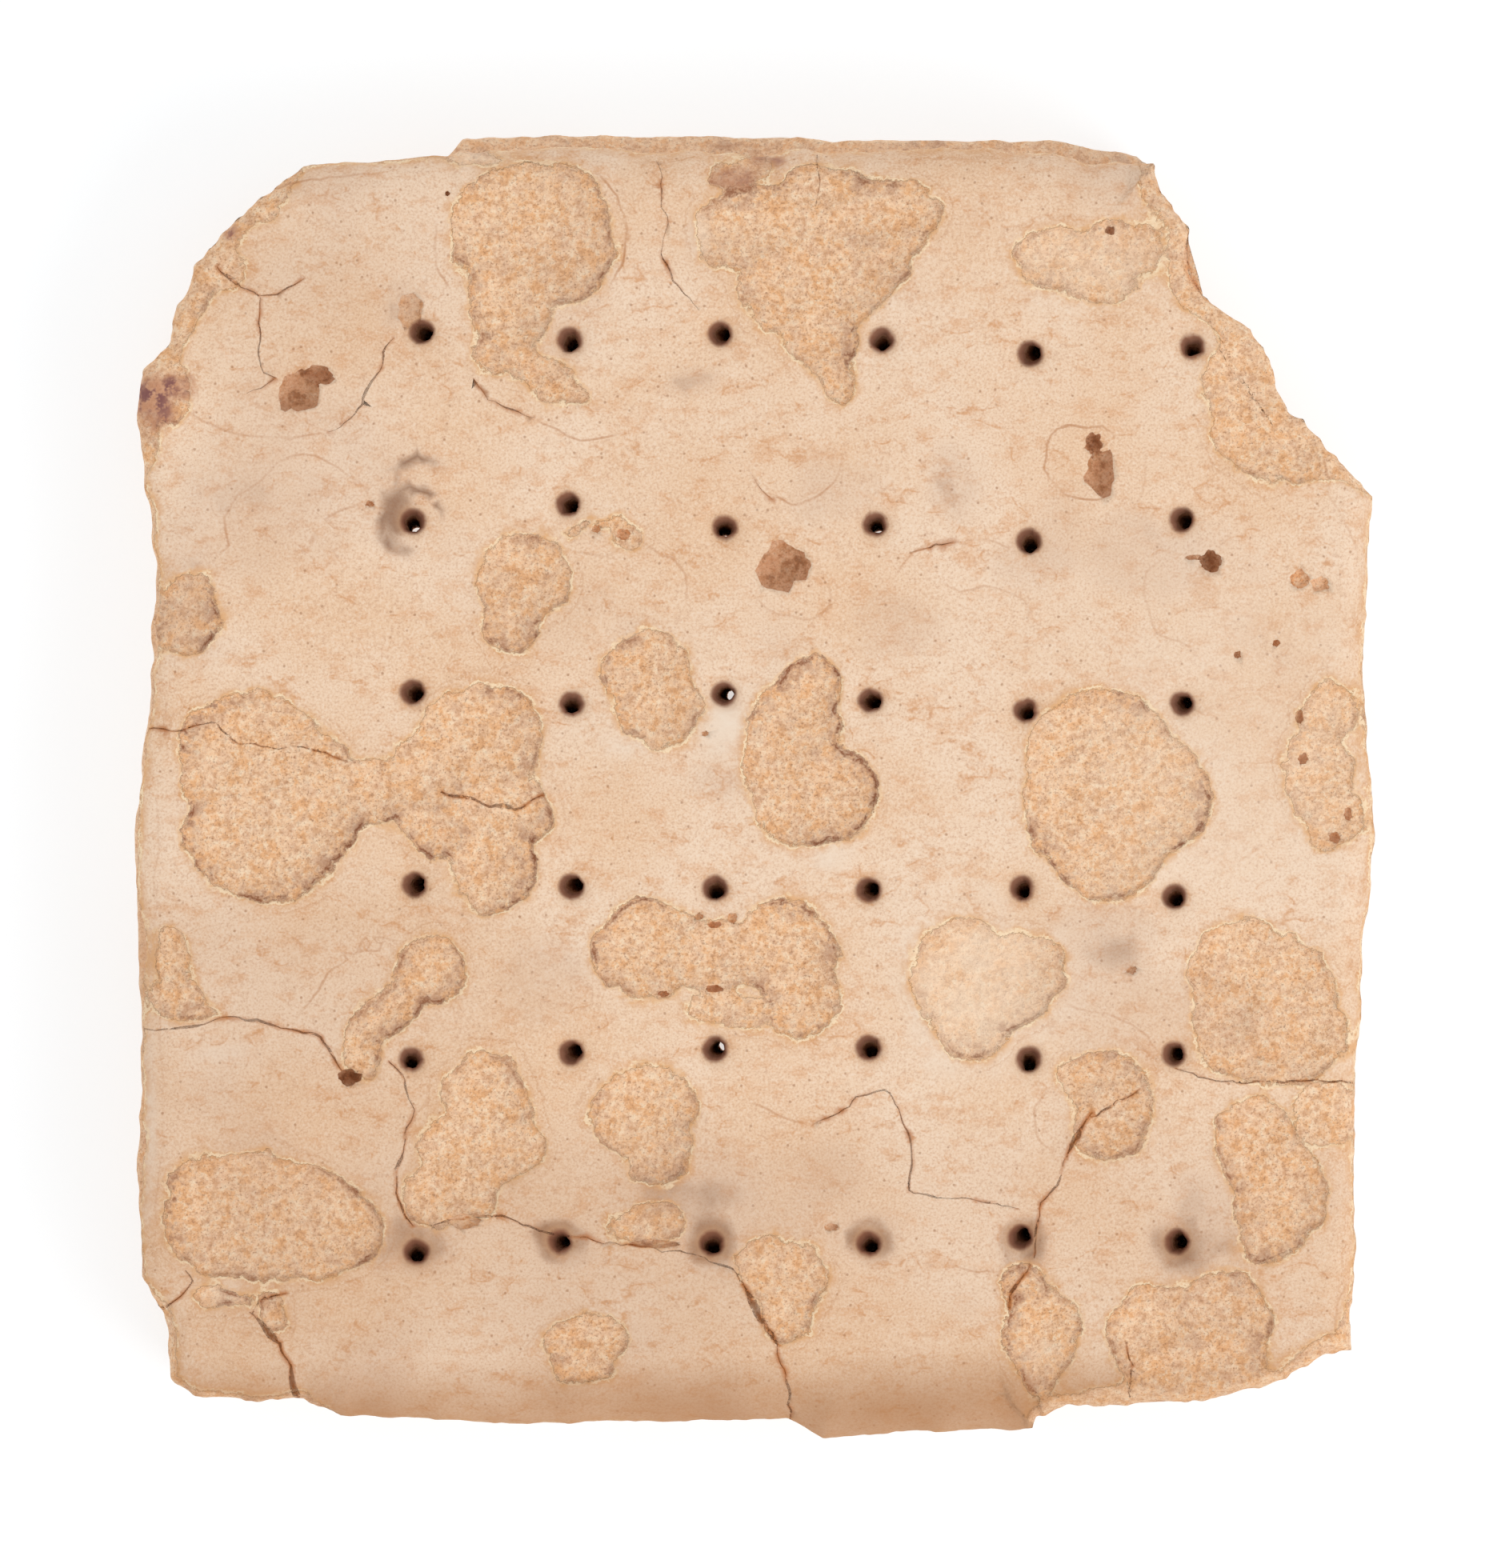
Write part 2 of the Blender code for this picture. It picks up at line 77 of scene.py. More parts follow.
# Cells of the two layers' grids
UPPER_CELLS = (460, 484)
UPPER_ROWS = 22
UPPER_TRIANGLES = 144000
LOWER_CELLS = (210, 220)
LOWER_ROWS = 34

# The edge, counterclockwise from the right end of the top side. Each run has its name, how far its
# line strays, how far in the top face starts to fall, how far it falls there, how far the lower layer
# stands out past the skin, how rough its side is, how bare of skin it is, and its corner points.
EDGE_RUNS = [
    ("top side", 0.10, 3.6, 2.3, 1.1, 0.30, 0.0, [
        (23.2, 37.9), (17.8, 38.7), (7.4, 38.7), (-1.5, 39.0), (-17.5, 39.0)]),
    ("top left shoulder", 0.10, 3.0, 1.8, 0.3, 0.15, 0.1, [(-18.4, 37.9), (-24.0, 37.4), (-27.0, 37.0)]),
    ("top left break", 0.25, 0.9, 0.8, 0.2, 0.40, 0.9, [
        (-29.3, 35.2), (-32.2, 32.9), (-33.6, 30.9), (-34.9, 26.4), (-36.7, 24.6), (-37.0, 22.0)]),
    ("left side", 0.12, 2.2, 0.9, 0.6, 0.20, 0.1, [
        (-36.1, 13.4), (-36.4, 6.2), (-37.2, -2.4), (-37.1, -24.0), (-36.9, -29.8)]),
    ("lower left break", 0.20, 1.6, 1.3, 0.1, 0.30, 0.4, [
        (-35.4, -31.7), (-34.8, -35.5), (-33.4, -36.4), (-30.1, -37.0), (-26.9, -36.9)]),
    ("bottom side", 0.10, 4.2, 3.0, 0.0, 0.15, 0.0, [
        (-24.7, -37.8), (-13.7, -38.3), (2.1, -38.0), (4.2, -39.2), (9.7, -38.7), (16.8, -38.7)]),
    ("lower right break", 0.25, 1.4, 1.2, 0.3, 0.40, 0.9, [
        (17.1, -38.1), (19.7, -37.3), (26.3, -37.1), (30.5, -36.4), (33.3, -35.1), (35.9, -33.9)]),
    ("right side", 0.12, 1.9, 1.3, 0.1, 0.20, 0.1, [
        (36.1, -29.8), (36.0, -22.6), (36.5, -10.6), (37.2, -2.9), (36.6, 5.7), (37.1, 17.1)]),
    ("top right break", 0.30, 0.8, 0.6, 0.1, 0.45, 1.0, [
        (35.5, 18.8), (33.0, 21.7), (32.0, 22.0), (29.9, 27.2), (27.4, 28.6), (26.1, 30.4), (25.8, 33.1),
        (24.2, 35.3), (24.0, 37.3)]),
]
EASE = 1.0            # how far to each side of a point its shoulder, drop and ledge are averaged
HEADING_REACH = 3     # stations to each side that give the edge's direction
EDGE_THIN = 4         # one station in so many is enough to measure distances from
RELAX_ROUNDS = 120
UNFOLD_ROUNDS = 240
# The four corner points where the grids' sides meet: lower left, lower right, upper right, upper left
GRID_CORNERS = [(-34.8, -35.5), (35.9, -33.9), (29.9, 27.2), (-32.2, 32.9)]

# Docker holes: an even grid of pins, and how far each pin's hole strays from it, row by row
HOLE_COUNT = 6
HOLE_PITCH = (9.15, 10.79)
HOLE_CENTRE = (2.64, -0.42)
HOLE_STRAYS = [
    [(0.5, 0.4), (0.2, -0.1), (0.0, 0.3), (0.5, -0.1), (0.2, -0.9), (0.7, -0.5)],
    [(0.0, -0.1), (0.1, 0.9), (0.3, -0.5), (0.1, -0.3), (0.1, -1.3), (0.1, 0.0)],
    [(0.0, 0.5), (0.3, -0.2), (0.2, 0.4), (-0.2, 0.0), (-0.1, -0.6), (0.1, -0.2)],
    [(0.1, -0.2), (0.3, -0.3), (-0.3, -0.4), (-0.3, -0.5), (-0.3, -0.4), (-0.4, -0.9)],
    [(-0.1, 0.2), (0.3, 0.6), (-0.3, 0.8), (-0.3, 0.9), (0.1, 0.2), (-0.4, 0.5)],
    [(0.2, -0.5), (-0.4, 0.1), (-0.5, 0.0), (-0.3, 0.0), (-0.4, 0.4), (-0.2, 0.1)],
]
# Holes with a clear way down to the floor, by row and column
CLEAR_HOLES = {(1, 2), (1, 3), (2, 2), (4, 2), (1, 0)}

# Patches where the skin has flaked off: depth, how dark the rim is painted with dirt and painted shade,
# then lobes of centre x, y, half widths and turn
PATCHES = {
    "upper left": (0.55, 0.5, [
        (-13.2, 33.0, 5.0, 4.2, 0), (-11.4, 32.0, 3.0, 3.2, 15), (-14.6, 28.6, 2.2, 3.2, 25),
        (-12.3, 24.2, 2.9, 1.0, -30), (-15.6, 25.6, 1.0, 1.0, 0)]),
    "upper middle": (0.60, 0.7, [
        (0.6, 32.9, 4.0, 2.7, 0), (7.2, 33.5, 3.9, 2.6, 10), (4.2, 35.2, 2.8, 1.9, 0),
        (3.9, 30.2, 4.5, 3.3, 0), (4.2, 27.0, 2.2, 2.6, 0), (4.9, 24.7, 0.9, 1.9, 22),
        (1.6, 28.6, 2.7, 1.5, -40), (7.6, 31.0, 2.6, 1.6, 38)]),
    "upper right": (0.50, 0.3, [
        (18.6, 31.2, 3.1, 1.9, -10), (20.6, 30.5, 2.3, 2.0, 0), (22.2, 31.9, 2.3, 1.5, -20)]),
    "right corner": (0.60, 0.3, [
        (29.6, 23.4, 2.5, 3.3, 18), (30.9, 20.4, 3.5, 2.5, -8), (32.9, 20.7, 1.8, 1.2, -30)]),
    "left small": (0.60, 0.9, [(-33.2, 10.5, 1.7, 1.9, 0), (-33.9, 9.2, 1.5, 1.6, 0)]),
    "upper oval": (0.50, 0.6, [(-13.6, 12.3, 2.7, 2.7, 0), (-14.3, 9.7, 1.6, 1.9, 0)]),
    "upper chip": (0.30, 0.4, [
        (-10.2, 15.3, 0.9, 0.4, 35), (-8.7, 15.5, 0.9, 0.5, 0), (-7.5, 14.9, 0.8, 0.5, -40)]),
    "bow tie": (0.60, 1.0, [
        (-29.8, 1.5, 4.4, 4.2, 0), (-29.0, -2.9, 4.8, 4.1, 0), (-26.3, -0.7, 3.2, 3.8, 0),
        (-22.6, -0.4, 2.8, 2.0, 0), (-16.1, 2.5, 3.8, 3.5, 0), (-18.9, 0.7, 3.2, 2.7, 35),
        (-15.2, -1.4, 3.3, 2.4, 0), (-15.7, -4.6, 2.5, 3.2, 12), (-18.8, -2.7, 2.7, 1.5, -35)]),
    "middle": (0.50, 0.6, [(-6.3, 6.8, 2.6, 2.5, 0), (-5.5, 4.3, 2.4, 2.2, 0)]),
    "centre right": (0.65, 0.9, [
        (2.4, 3.3, 2.7, 3.2, 0), (4.6, -0.4, 2.8, 2.9, 25), (3.6, 5.6, 1.7, 1.8, 0),
        (2.6, -1.4, 2.1, 2.4, 0), (1.5, 0.6, 2.0, 3.0, 0)]),
    "right big": (0.65, 0.8, [
        (20.7, 1.4, 4.3, 4.3, 0), (23.5, -0.6, 3.7, 3.8, 0), (21.0, -3.9, 3.5, 2.9, 0),
        (19.0, -1.6, 2.7, 3.6, 0)]),
    "right strip": (0.45, 0.3, [
        (34.4, 4.3, 1.6, 1.8, 0), (33.9, 1.7, 1.7, 1.4, 0), (34.9, -1.8, 1.6, 2.1, 0),
        (33.8, 0.0, 2.0, 2.4, 0)]),
    "centre low": (0.55, 0.8, [
        (-6.4, -9.7, 3.2, 2.9, 0), (-2.2, -10.2, 2.9, 2.1, 0), (1.8, -9.8, 3.3, 3.1, 0),
        (2.8, -12.2, 2.3, 2.9, 10)]),
    "low nib": (0.16, 0.2, [(-2.0, -13.2, 1.9, 0.9, 8), (0.2, -13.4, 1.2, 0.8, 0)]),
    "heart": (0.50, 0.5, [
        (12.4, -11.4, 3.1, 3.5, 0), (15.8, -11.2, 2.9, 2.4, 0), (13.1, -14.2, 2.2, 2.0, 15),
        (15.3, -12.9, 2.9, 1.8, 28)]),
    "right low": (0.60, 0.5, [
        (29.4, -11.3, 3.2, 3.2, 0), (32.3, -14.5, 3.1, 3.1, 0), (28.3, -14.5, 2.2, 2.8, 0),
        (30.4, -16.3, 3.0, 1.5, 0), (31.6, -11.7, 2.6, 2.4, -38)]),
    "right lower": (0.60, 0.6, [
        (30.0, -21.6, 2.3, 2.9, 0), (31.5, -24.4, 2.9, 3.0, 0), (30.7, -27.0, 1.8, 1.6, 0)]),
    "right edge low": (0.20, 0.2, [(34.2, -19.8, 1.8, 1.9, 0)]),
    "crack patch": (0.50, 0.4, [
        (20.8, -17.6, 2.4, 1.6, 0), (21.5, -20.7, 2.2, 1.9, 0), (22.1, -19.1, 1.7, 1.8, 0)]),
    "lower right corner": (0.60, 0.5, [
        (24.0, -32.4, 2.9, 2.4, 15), (27.9, -31.6, 3.1, 2.5, 0), (25.6, -34.7, 3.6, 2.0, 0),
        (28.3, -34.0, 2.2, 1.9, 0)]),
    "lower right small": (0.50, 0.9, [
        (17.3, -32.5, 2.3, 2.7, 0), (16.3, -29.8, 1.3, 1.2, 0), (17.0, -35.1, 0.9, 1.3, 0)]),
    "crack lobe": (0.50, 0.6, [(1.9, -29.0, 2.8, 2.1, -12), (2.2, -31.3, 1.4, 1.8, 0)]),
    "lower left middle": (0.50, 0.3, [
        (-15.7, -18.9, 2.6, 3.1, 0), (-16.3, -21.8, 3.7, 2.6, 0), (-17.9, -24.3, 2.9, 2.2, 10)]),
    "lower centre": (0.55, 0.4, [
        (-6.3, -19.6, 2.9, 3.0, 0), (-7.7, -19.4, 1.9, 2.0, 0), (-5.6, -21.9, 2.2, 2.1, 0)]),
    "lower left big": (0.60, 0.7, [
        (-30.3, -25.8, 4.7, 3.8, 0), (-26.8, -26.1, 4.7, 3.2, -8), (-33.2, -24.5, 1.6, 1.8, 0)]),
    "left low strip": (0.25, 0.7, [
        (-34.6, -10.7, 0.9, 1.9, 0), (-34.4, -12.8, 1.7, 1.2, 0), (-32.9, -13.6, 1.3, 0.6, 0)]),
    "left low band": (0.45, 0.8, [
        (-19.1, -11.1, 1.9, 2.0, 0), (-21.7, -13.7, 2.6, 1.3, 40), (-23.3, -15.8, 1.1, 1.7, 0)]),
    "bottom small": (0.55, 0.8, [(-9.8, -33.2, 2.6, 1.7, 0), (-10.2, -34.4, 2.0, 1.5, 0)]),
    "half moon": (0.20, 0.3, [(-6.3, -26.2, 2.1, 1.2, 0)]),
    "left corner": (0.20, 0.3, [(-32.0, 31.0, 1.8, 1.3, -35), (-31.4, 33.0, 1.4, 0.7, 45)]),
    "low corner": (0.35, 0.8, [(-28.8, -31.6, 0.7, 1.2, 20), (-31.6, -30.6, 1.8, 0.6, -8)]),
    "scorched lump": (0.12, 0.6, [(-35.4, 23.4, 1.9, 2.0, 0), (-34.6, 22.6, 1.3, 1.4, 0)]),
    "top smear": (0.10, 0.5, [(-0.9, 36.4, 1.6, 0.7, 12)]),
    "top scrape": (0.18, 0.2, [(-16.6, 37.4, 1.9, 0.5, -8), (-0.4, 36.6, 1.7, 0.6, 10)]),
}
UNDERSIDE_PATCHES = {
    "underside": (0.45, 0.4, [
        (-22.0, 14.0, 6.0, 4.5, 10), (-17.0, 18.5, 4.0, 3.0, 0), (14.0, -20.0, 5.5, 4.5, 0),
        (20.0, 17.0, 4.0, 5.0, 20), (-16.0, -24.0, 4.5, 3.5, -15), (27.0, -7.0, 3.0, 4.0, 0)]),
}
RIM_WIDTH = 0.15      # a patch's wall, seen from above
LOBE_BLEND = 0.6      # how smoothly one patch's lobes meet
EDGE_BLEND = 0.8      # how smoothly a patch meets a broken edge
EDGE_FLAKE = 0.30     # how deep the skin has flaked off beside a broken edge
FLAKE_WIDTH = 1.25    # how wide, where the edge is wholly bare
FAR = 3.0             # distances are worked out to here only
CHUNK = 8192          # points whose distance to the edge is worked out at once

# Bubbles that have burst under the skin: centre x, y, half widths, depth and how far it widens below
BUBBLES = [
    (1.8, 13.0, 1.50, 1.38, 1.15, 0.25), (20.7, 18.6, 0.95, 1.40, 1.05, 0.20),
    (20.3, 20.3, 0.50, 0.60, 1.2, 0.20), (-27.1, 23.4, 1.20, 1.30, 1.05, 0.20),
    (-25.9, 24.4, 0.95, 0.55, 1.30, 0.20), (27.3, 13.3, 0.62, 0.60, 1.3, 0.15),
    (26.3, 13.5, 0.50, 0.16, 0.4, 0.00), (32.6, 12.2, 0.60, 0.58, 0.45, 0.00),
    (33.8, 11.9, 0.55, 0.45, 0.40, 0.00), (-24.0, -17.5, 0.70, 0.45, 1.2, 0.15),
    (22.6, -11.1, 0.30, 0.24, 0.35, 0.00), (21.3, 33.0, 0.32, 0.24, 0.6, 0.05),
    (-18.2, 35.2, 0.15, 0.14, 0.5, 0.00), (28.9, 7.7, 0.20, 0.24, 0.5, 0.00),
    (31.2, 8.4, 0.21, 0.20, 0.5, 0.00), (-22.8, 16.7, 0.24, 0.18, 0.4, 0.00),
    (-20.4, 28.2, 0.75, 1.05, 0.40, 0.00), (32.6, 4.0, 0.26, 0.40, 0.5, 0.00),
    (32.8, 1.5, 0.28, 0.34, 0.5, 0.00), (35.5, -1.8, 0.24, 0.36, 0.4, 0.00),
    (34.7, -3.2, 0.34, 0.34, 0.5, 0.00), (-3.2, -7.9, 0.24, 0.22, 0.4, 0.00),
    (-2.3, -8.4, 0.42, 0.20, 0.4, 0.00), (-1.2, -8.0, 0.30, 0.28, 0.4, 0.00),
    (-2.3, -12.2, 0.50, 0.20, 0.5, 0.00), (-5.3, -12.5, 0.30, 0.20, 0.4, 0.00),
    (-5.9, -27.4, 1.50, 0.26, 0.35, 0.00), (-17.2, -26.1, 0.95, 0.42, 0.40, 0.00),
    (-2.8, 3.0, 0.22, 0.16, 0.3, 0.00), (-7.7, 14.9, 0.40, 0.30, 0.4, 0.00),
    (-9.3, 15.2, 0.28, 0.24, 0.4, 0.00), (4.7, -26.4, 0.40, 0.22, 0.3, 0.00),
]

# Cracks: half width at the skin, depth and the points where they turn
CRACKS = {
    "upper left break": (0.15, 0.6, [(-31.9, 30.9), (-30.8, 29.9), (-29.5, 29.0)]),
    "upper left branch": (0.055, 0.14, [(-29.5, 29.0), (-28.2, 29.1), (-26.6, 30.1)]),
    "upper left fall": (0.05, 0.17, [
        (-29.5, 29.0), (-29.5, 27.5), (-29.3, 25.9), (-29.2, 24.7), (-28.4, 24.2)]),
    "upper left foot": (0.055, 0.14, [(-28.6, 24.2), (-29.2, 23.7), (-30.1, 23.2)]),
    "beside the left bubble": (0.07, 0.22, [
        (-21.5, 26.7), (-22.0, 25.9), (-22.1, 24.7), (-22.8, 23.4), (-23.8, 22.0), (-25.3, 21.0)]),
    "upper hairline": (0.05, 0.17, [
        (-5.8, 37.2), (-5.5, 35.6), (-5.6, 34.6), (-5.0, 33.4), (-5.4, 31.7), (-4.7, 29.8), (-3.0, 28.2)]),
    "upper hairline right": (0.04, 0.11, [(3.9, 37.6), (4.1, 35.8), (3.9, 34.4)]),
    "under the upper left patch": (0.05, 0.12, [
        (-16.6, 24.2), (-15.8, 23.1), (-14.2, 22.3), (-12.9, 21.8)]),
    "smile": (0.05, 0.12, [(-0.1, 18.6), (0.4, 17.8), (1.2, 17.0)]),
    "right arch": (0.04, 0.11, [(9.5, 13.8), (10.9, 14.3), (12.4, 14.5)]),
    "bow tie left": (0.04, 0.14, [
        (-37.2, 3.2), (-33.9, 3.3), (-31.9, 3.65), (-30.8, 2.4), (-26.3, 2.2), (-24.1, 1.4)]),
    "bow tie right": (0.14, 0.4, [(-18.6, -0.6), (-16.8, -1.1), (-14.2, -1.4), (-12.4, -0.8)]),
    "left edge": (0.065, 0.22, [
        (-38.0, -14.2), (-36.0, -14.6), (-33.2, -14.3), (-30.4, -14.0), (-28.3, -14.3), (-26.2, -14.8),
        (-25.2, -15.7), (-24.4, -17.2)]),
    "low left": (0.09, 0.5, [
        (-21.7, -16.6), (-20.8, -17.5), (-20.2, -19.4), (-20.6, -21.2), (-21.3, -23.0), (-21.1, -24.6),
        (-20.3, -26.4)]),
    "low middle": (0.055, 0.17, [
        (-19.4, -26.4), (-16.8, -26.0), (-15.0, -25.5), (-13.6, -26.4), (-11.8, -27.0), (-9.3, -27.2),
        (-6.3, -27.5), (-3.5, -28.1), (-1.4, -29.0), (-0.7, -29.9)]),
    "bottom gap": (0.24, 0.9, [(-0.6, -29.8), (0.5, -31.6), (1.6, -33.4)]),
    "bottom": (0.07, 0.5, [(1.6, -33.2), (1.5, -34.1), (2.0, -35.0), (2.3, -36.2), (2.2, -39.6)]),
    "lower arch": (0.05, 0.17, [
        (3.5, -20.3), (5.1, -19.5), (6.2, -18.5), (8.0, -18.3), (8.7, -19.2), (9.3, -20.8), (9.5, -22.8),
        (9.4, -24.3), (11.5, -24.6), (13.9, -24.8), (15.9, -25.3)]),
    "right of centre": (0.07, 0.22, [(23.0, -18.1), (21.7, -19.1), (20.1, -19.7)]),
    "right of centre wide": (0.22, 0.9, [(20.3, -19.6), (19.2, -21.1), (18.6, -22.2)]),
    "right of centre low": (0.08, 0.5, [
        (18.6, -22.1), (18.2, -23.9), (17.2, -25.0), (17.0, -27.0), (16.6, -28.2)]),
    "below the low hole": (0.2, 0.6, [(16.4, -28.6), (15.6, -30.2), (15.2, -31.2)]),
    "right": (0.05, 0.14, [
        (25.2, -17.0), (27.4, -17.8), (29.4, -17.8), (32.2, -17.5), (34.3, -17.6), (37.2, -17.7)]),
    "corner": (0.11, 0.8, [(-37.0, -32.2), (-35.5, -31.3), (-34.4, -30.7), (-33.4, -29.6), (-33.8, -29.0)]),
    "corner top": (0.1, 0.6, [(-27.6, -30.4), (-28.6, -30.4), (-29.5, -30.6), (-30.0, -31.6)]),
    "corner low": (0.18, 1.1, [
        (-30.0, -31.5), (-28.6, -33.1), (-27.7, -34.4), (-27.2, -36.7), (-27.0, -38.4)]),
    "patch corner": (0.05, 0.14, [(22.2, -33.2), (22.5, -34.6), (22.4, -36.6)]),
}
CRACK_STEP = 0.35     # between the points of a crack's path
CRACK_STRAY = 0.12    # how far noise moves them
CRACK_OVER = 0.35     # how far a crack's cutter stands above the skin
CRACK_SEED = 500
LINE_SEED = 700

# Lines drawn faintly on the skin, where it has lifted or folded: strength, and the points where they turn
FAINT_LINES = {
    "left fold": (0.2, [
        (-35.6, 0.6), (-35.5, -6.0), (-35.3, -14.5), (-35.2, -18.1), (-35.3, -22.6), (-35.6, -28.0)]),
    "under the left bubble": (0.6, [
        (-25.3, 21.0), (-27.3, 20.7), (-29.5, 20.7), (-32.0, 21.3), (-34.0, 22.6)]),
    "left blister": (0.5, [
        (-32.7, 13.5), (-31.0, 13.9), (-31.4, 15.6), (-30.8, 16.9), (-28.2, 19.2), (-26.3, 19.7),
        (-24.3, 18.6), (-22.8, 17.5), (-22.7, 16.7)]),
    "left wave": (0.55, [(-23.0, 16.8), (-24.7, 16.2), (-26.3, 15.0), (-26.4, 13.9), (-25.8, 14.6)]),
    "patch flake right": (0.7, [(-9.6, 36.9), (-8.2, 35.2), (-7.5, 33.3), (-7.7, 31.0), (-8.8, 29.4)]),
    "patch flake left": (0.8, [(-18.7, 33.8), (-19.0, 32.2), (-18.7, 30.6), (-18.0, 29.4)]),
    "under the patch": (0.6, [(-12.9, 21.8), (-11.3, 20.7), (-9.6, 20.5), (-7.8, 20.9)]),
    "smile": (0.7, [(1.0, 17.1), (2.6, 16.7), (3.9, 16.9), (4.9, 18.0), (5.5, 19.9)]),
    "middle blister": (0.5, [
        (-11.2, 14.0), (-9.0, 13.4), (-6.9, 14.6), (-4.7, 13.5), (-3.9, 12.2), (-4.2, 10.3)]),
    "under the window": (0.4, [(4.3, 12.6), (4.9, 10.7), (3.0, 9.7), (1.1, 10.3), (-0.2, 11.6)]),
    "window ring": (0.7, [
        (21.7, 17.6), (20.4, 16.9), (18.6, 17.4), (17.4, 18.9), (17.4, 20.4), (18.5, 21.3), (20.6, 21.4),
        (21.9, 20.6)]),
    "window ring outer": (0.4, [(23.2, 20.4), (23.4, 18.3), (22.9, 16.5), (21.4, 15.7)]),
    "right arch": (0.6, [(8.2, 12.0), (8.6, 12.9), (9.5, 13.8), (12.4, 14.5), (15.9, 14.3)]),
    "under the arch": (0.35, [(10.8, 12.3), (12.6, 11.4), (14.0, 11.6), (16.8, 10.7), (16.4, 9.2)]),
    "right ring": (0.4, [(24.6, 13.6), (23.5, 12.7), (23.2, 11.0), (24.1, 8.8), (26.7, 7.7)]),
    "right flap": (0.5, [(34.0, 19.9), (34.3, 17.4), (35.7, 15.1), (36.3, 13.0)]),
    "low band left": (0.5, [(-20.9, -10.2), (-23.1, -9.9), (-25.2, -11.1), (-27.1, -13.9)]),
    "low band outer": (0.35, [(-20.9, -9.5), (-22.9, -9.2), (-25.0, -10.4)]),
    "low hairline": (0.5, [(-0.2, -18.8), (1.4, -19.6), (3.4, -20.3)]),
    "crack patch flake": (0.5, [(17.6, -18.0), (16.7, -19.3), (17.0, -20.9), (18.1, -22.0)]),
    "low right hairline": (0.45, [(11.2, -28.3), (12.6, -28.8), (14.7, -29.4)]),
    "right edge": (0.45, [(35.3, -29.6), (34.9, -31.4), (34.6, -33.5)]),
    "right faint": (0.5, [(18.4, -13.0), (20.8, -13.7), (23.6, -15.1), (25.0, -16.6)]),
    "bottom scratch": (0.5, [(-13.6, -33.6), (-12.9, -32.8), (-11.6, -32.0)]),
    "top fold": (0.5, [(-30.2, 35.2), (-27.0, 35.9), (-24.6, 36.4), (-22.6, 36.6)]),
}
LINE_REACH = 1.0      # how far to each side a line's distance is stored
LINE_MARGIN = 1.2     # how far to each side it is worked out

NOISE_CELLS = 64


def value_noise(x, y, cell, seed):
    """Smooth noise from -1 to 1: random values on a square lattice, joined by 3 s^2 - 2 s^3."""
    table = np.random.default_rng(seed).uniform(-1.0, 1.0, (NOISE_CELLS, NOISE_CELLS))
    u = np.asarray(x, float) / cell + NOISE_CELLS / 2
    v = np.asarray(y, float) / cell + NOISE_CELLS / 2
    i = np.floor(u).astype(int)
    j = np.floor(v).astype(int)
    s = (u - i) ** 2 * (3 - 2 * (u - i))
    t = (v - j) ** 2 * (3 - 2 * (v - j))
    i0 = i % NOISE_CELLS
    j0 = j % NOISE_CELLS
    i1 = (i + 1) % NOISE_CELLS
    j1 = (j + 1) % NOISE_CELLS
    low = table[i0, j0] * (1 - s) + table[i1, j0] * s
    high = table[i0, j1] * (1 - s) + table[i1, j1] * s
    return low * (1 - t) + high * t


def fractal(x, y, cell, seed, octaves=3):
    """Octaves of value noise, each half the size and strength of the last and turned by 37 degrees."""
    total = 0.0
    for octave in range(octaves):
        turn = math.radians(37 * octave + 11)
        across = x * math.cos(turn) - y * math.sin(turn)
        along = x * math.sin(turn) + y * math.cos(turn)
        total = total + value_noise(across, along, cell / 2 ** octave, seed + octave) / 2 ** octave
    return total / (2 - 2 ** (1 - octaves))


def solid_fractal(x, y, z, cell, seed, octaves=3):
    """The same noise on a plane that slants through x, y and z, so that it changes up a wall too."""
    return fractal(x + 0.83 * z, y - 0.71 * z, cell, seed, octaves)


def smooth_step(low, high, value):
    """Zero below low, one above high, 3 t^2 - 2 t^3 between."""
    share = np.clip((value - low) / (high - low), 0, 1)
    return share * share * (3 - 2 * share)


def crown_height(x, y):
    """Height of the top face before its edges fall: a shallow bowl turned over, a sway and a lump."""
    fall = CROWN * ((2 * x / WIDTH) ** 2 + (2 * y / LENGTH) ** 2) / 2
    lump_x, lump_y, lump_size, lump_height = LUMP
    lump = lump_height * np.exp(-((x - lump_x) ** 2 + (y - lump_y) ** 2) / lump_size ** 2)
    return THICKNESS - fall + SWAY * value_noise(x, y, 13.0, 11) + lump


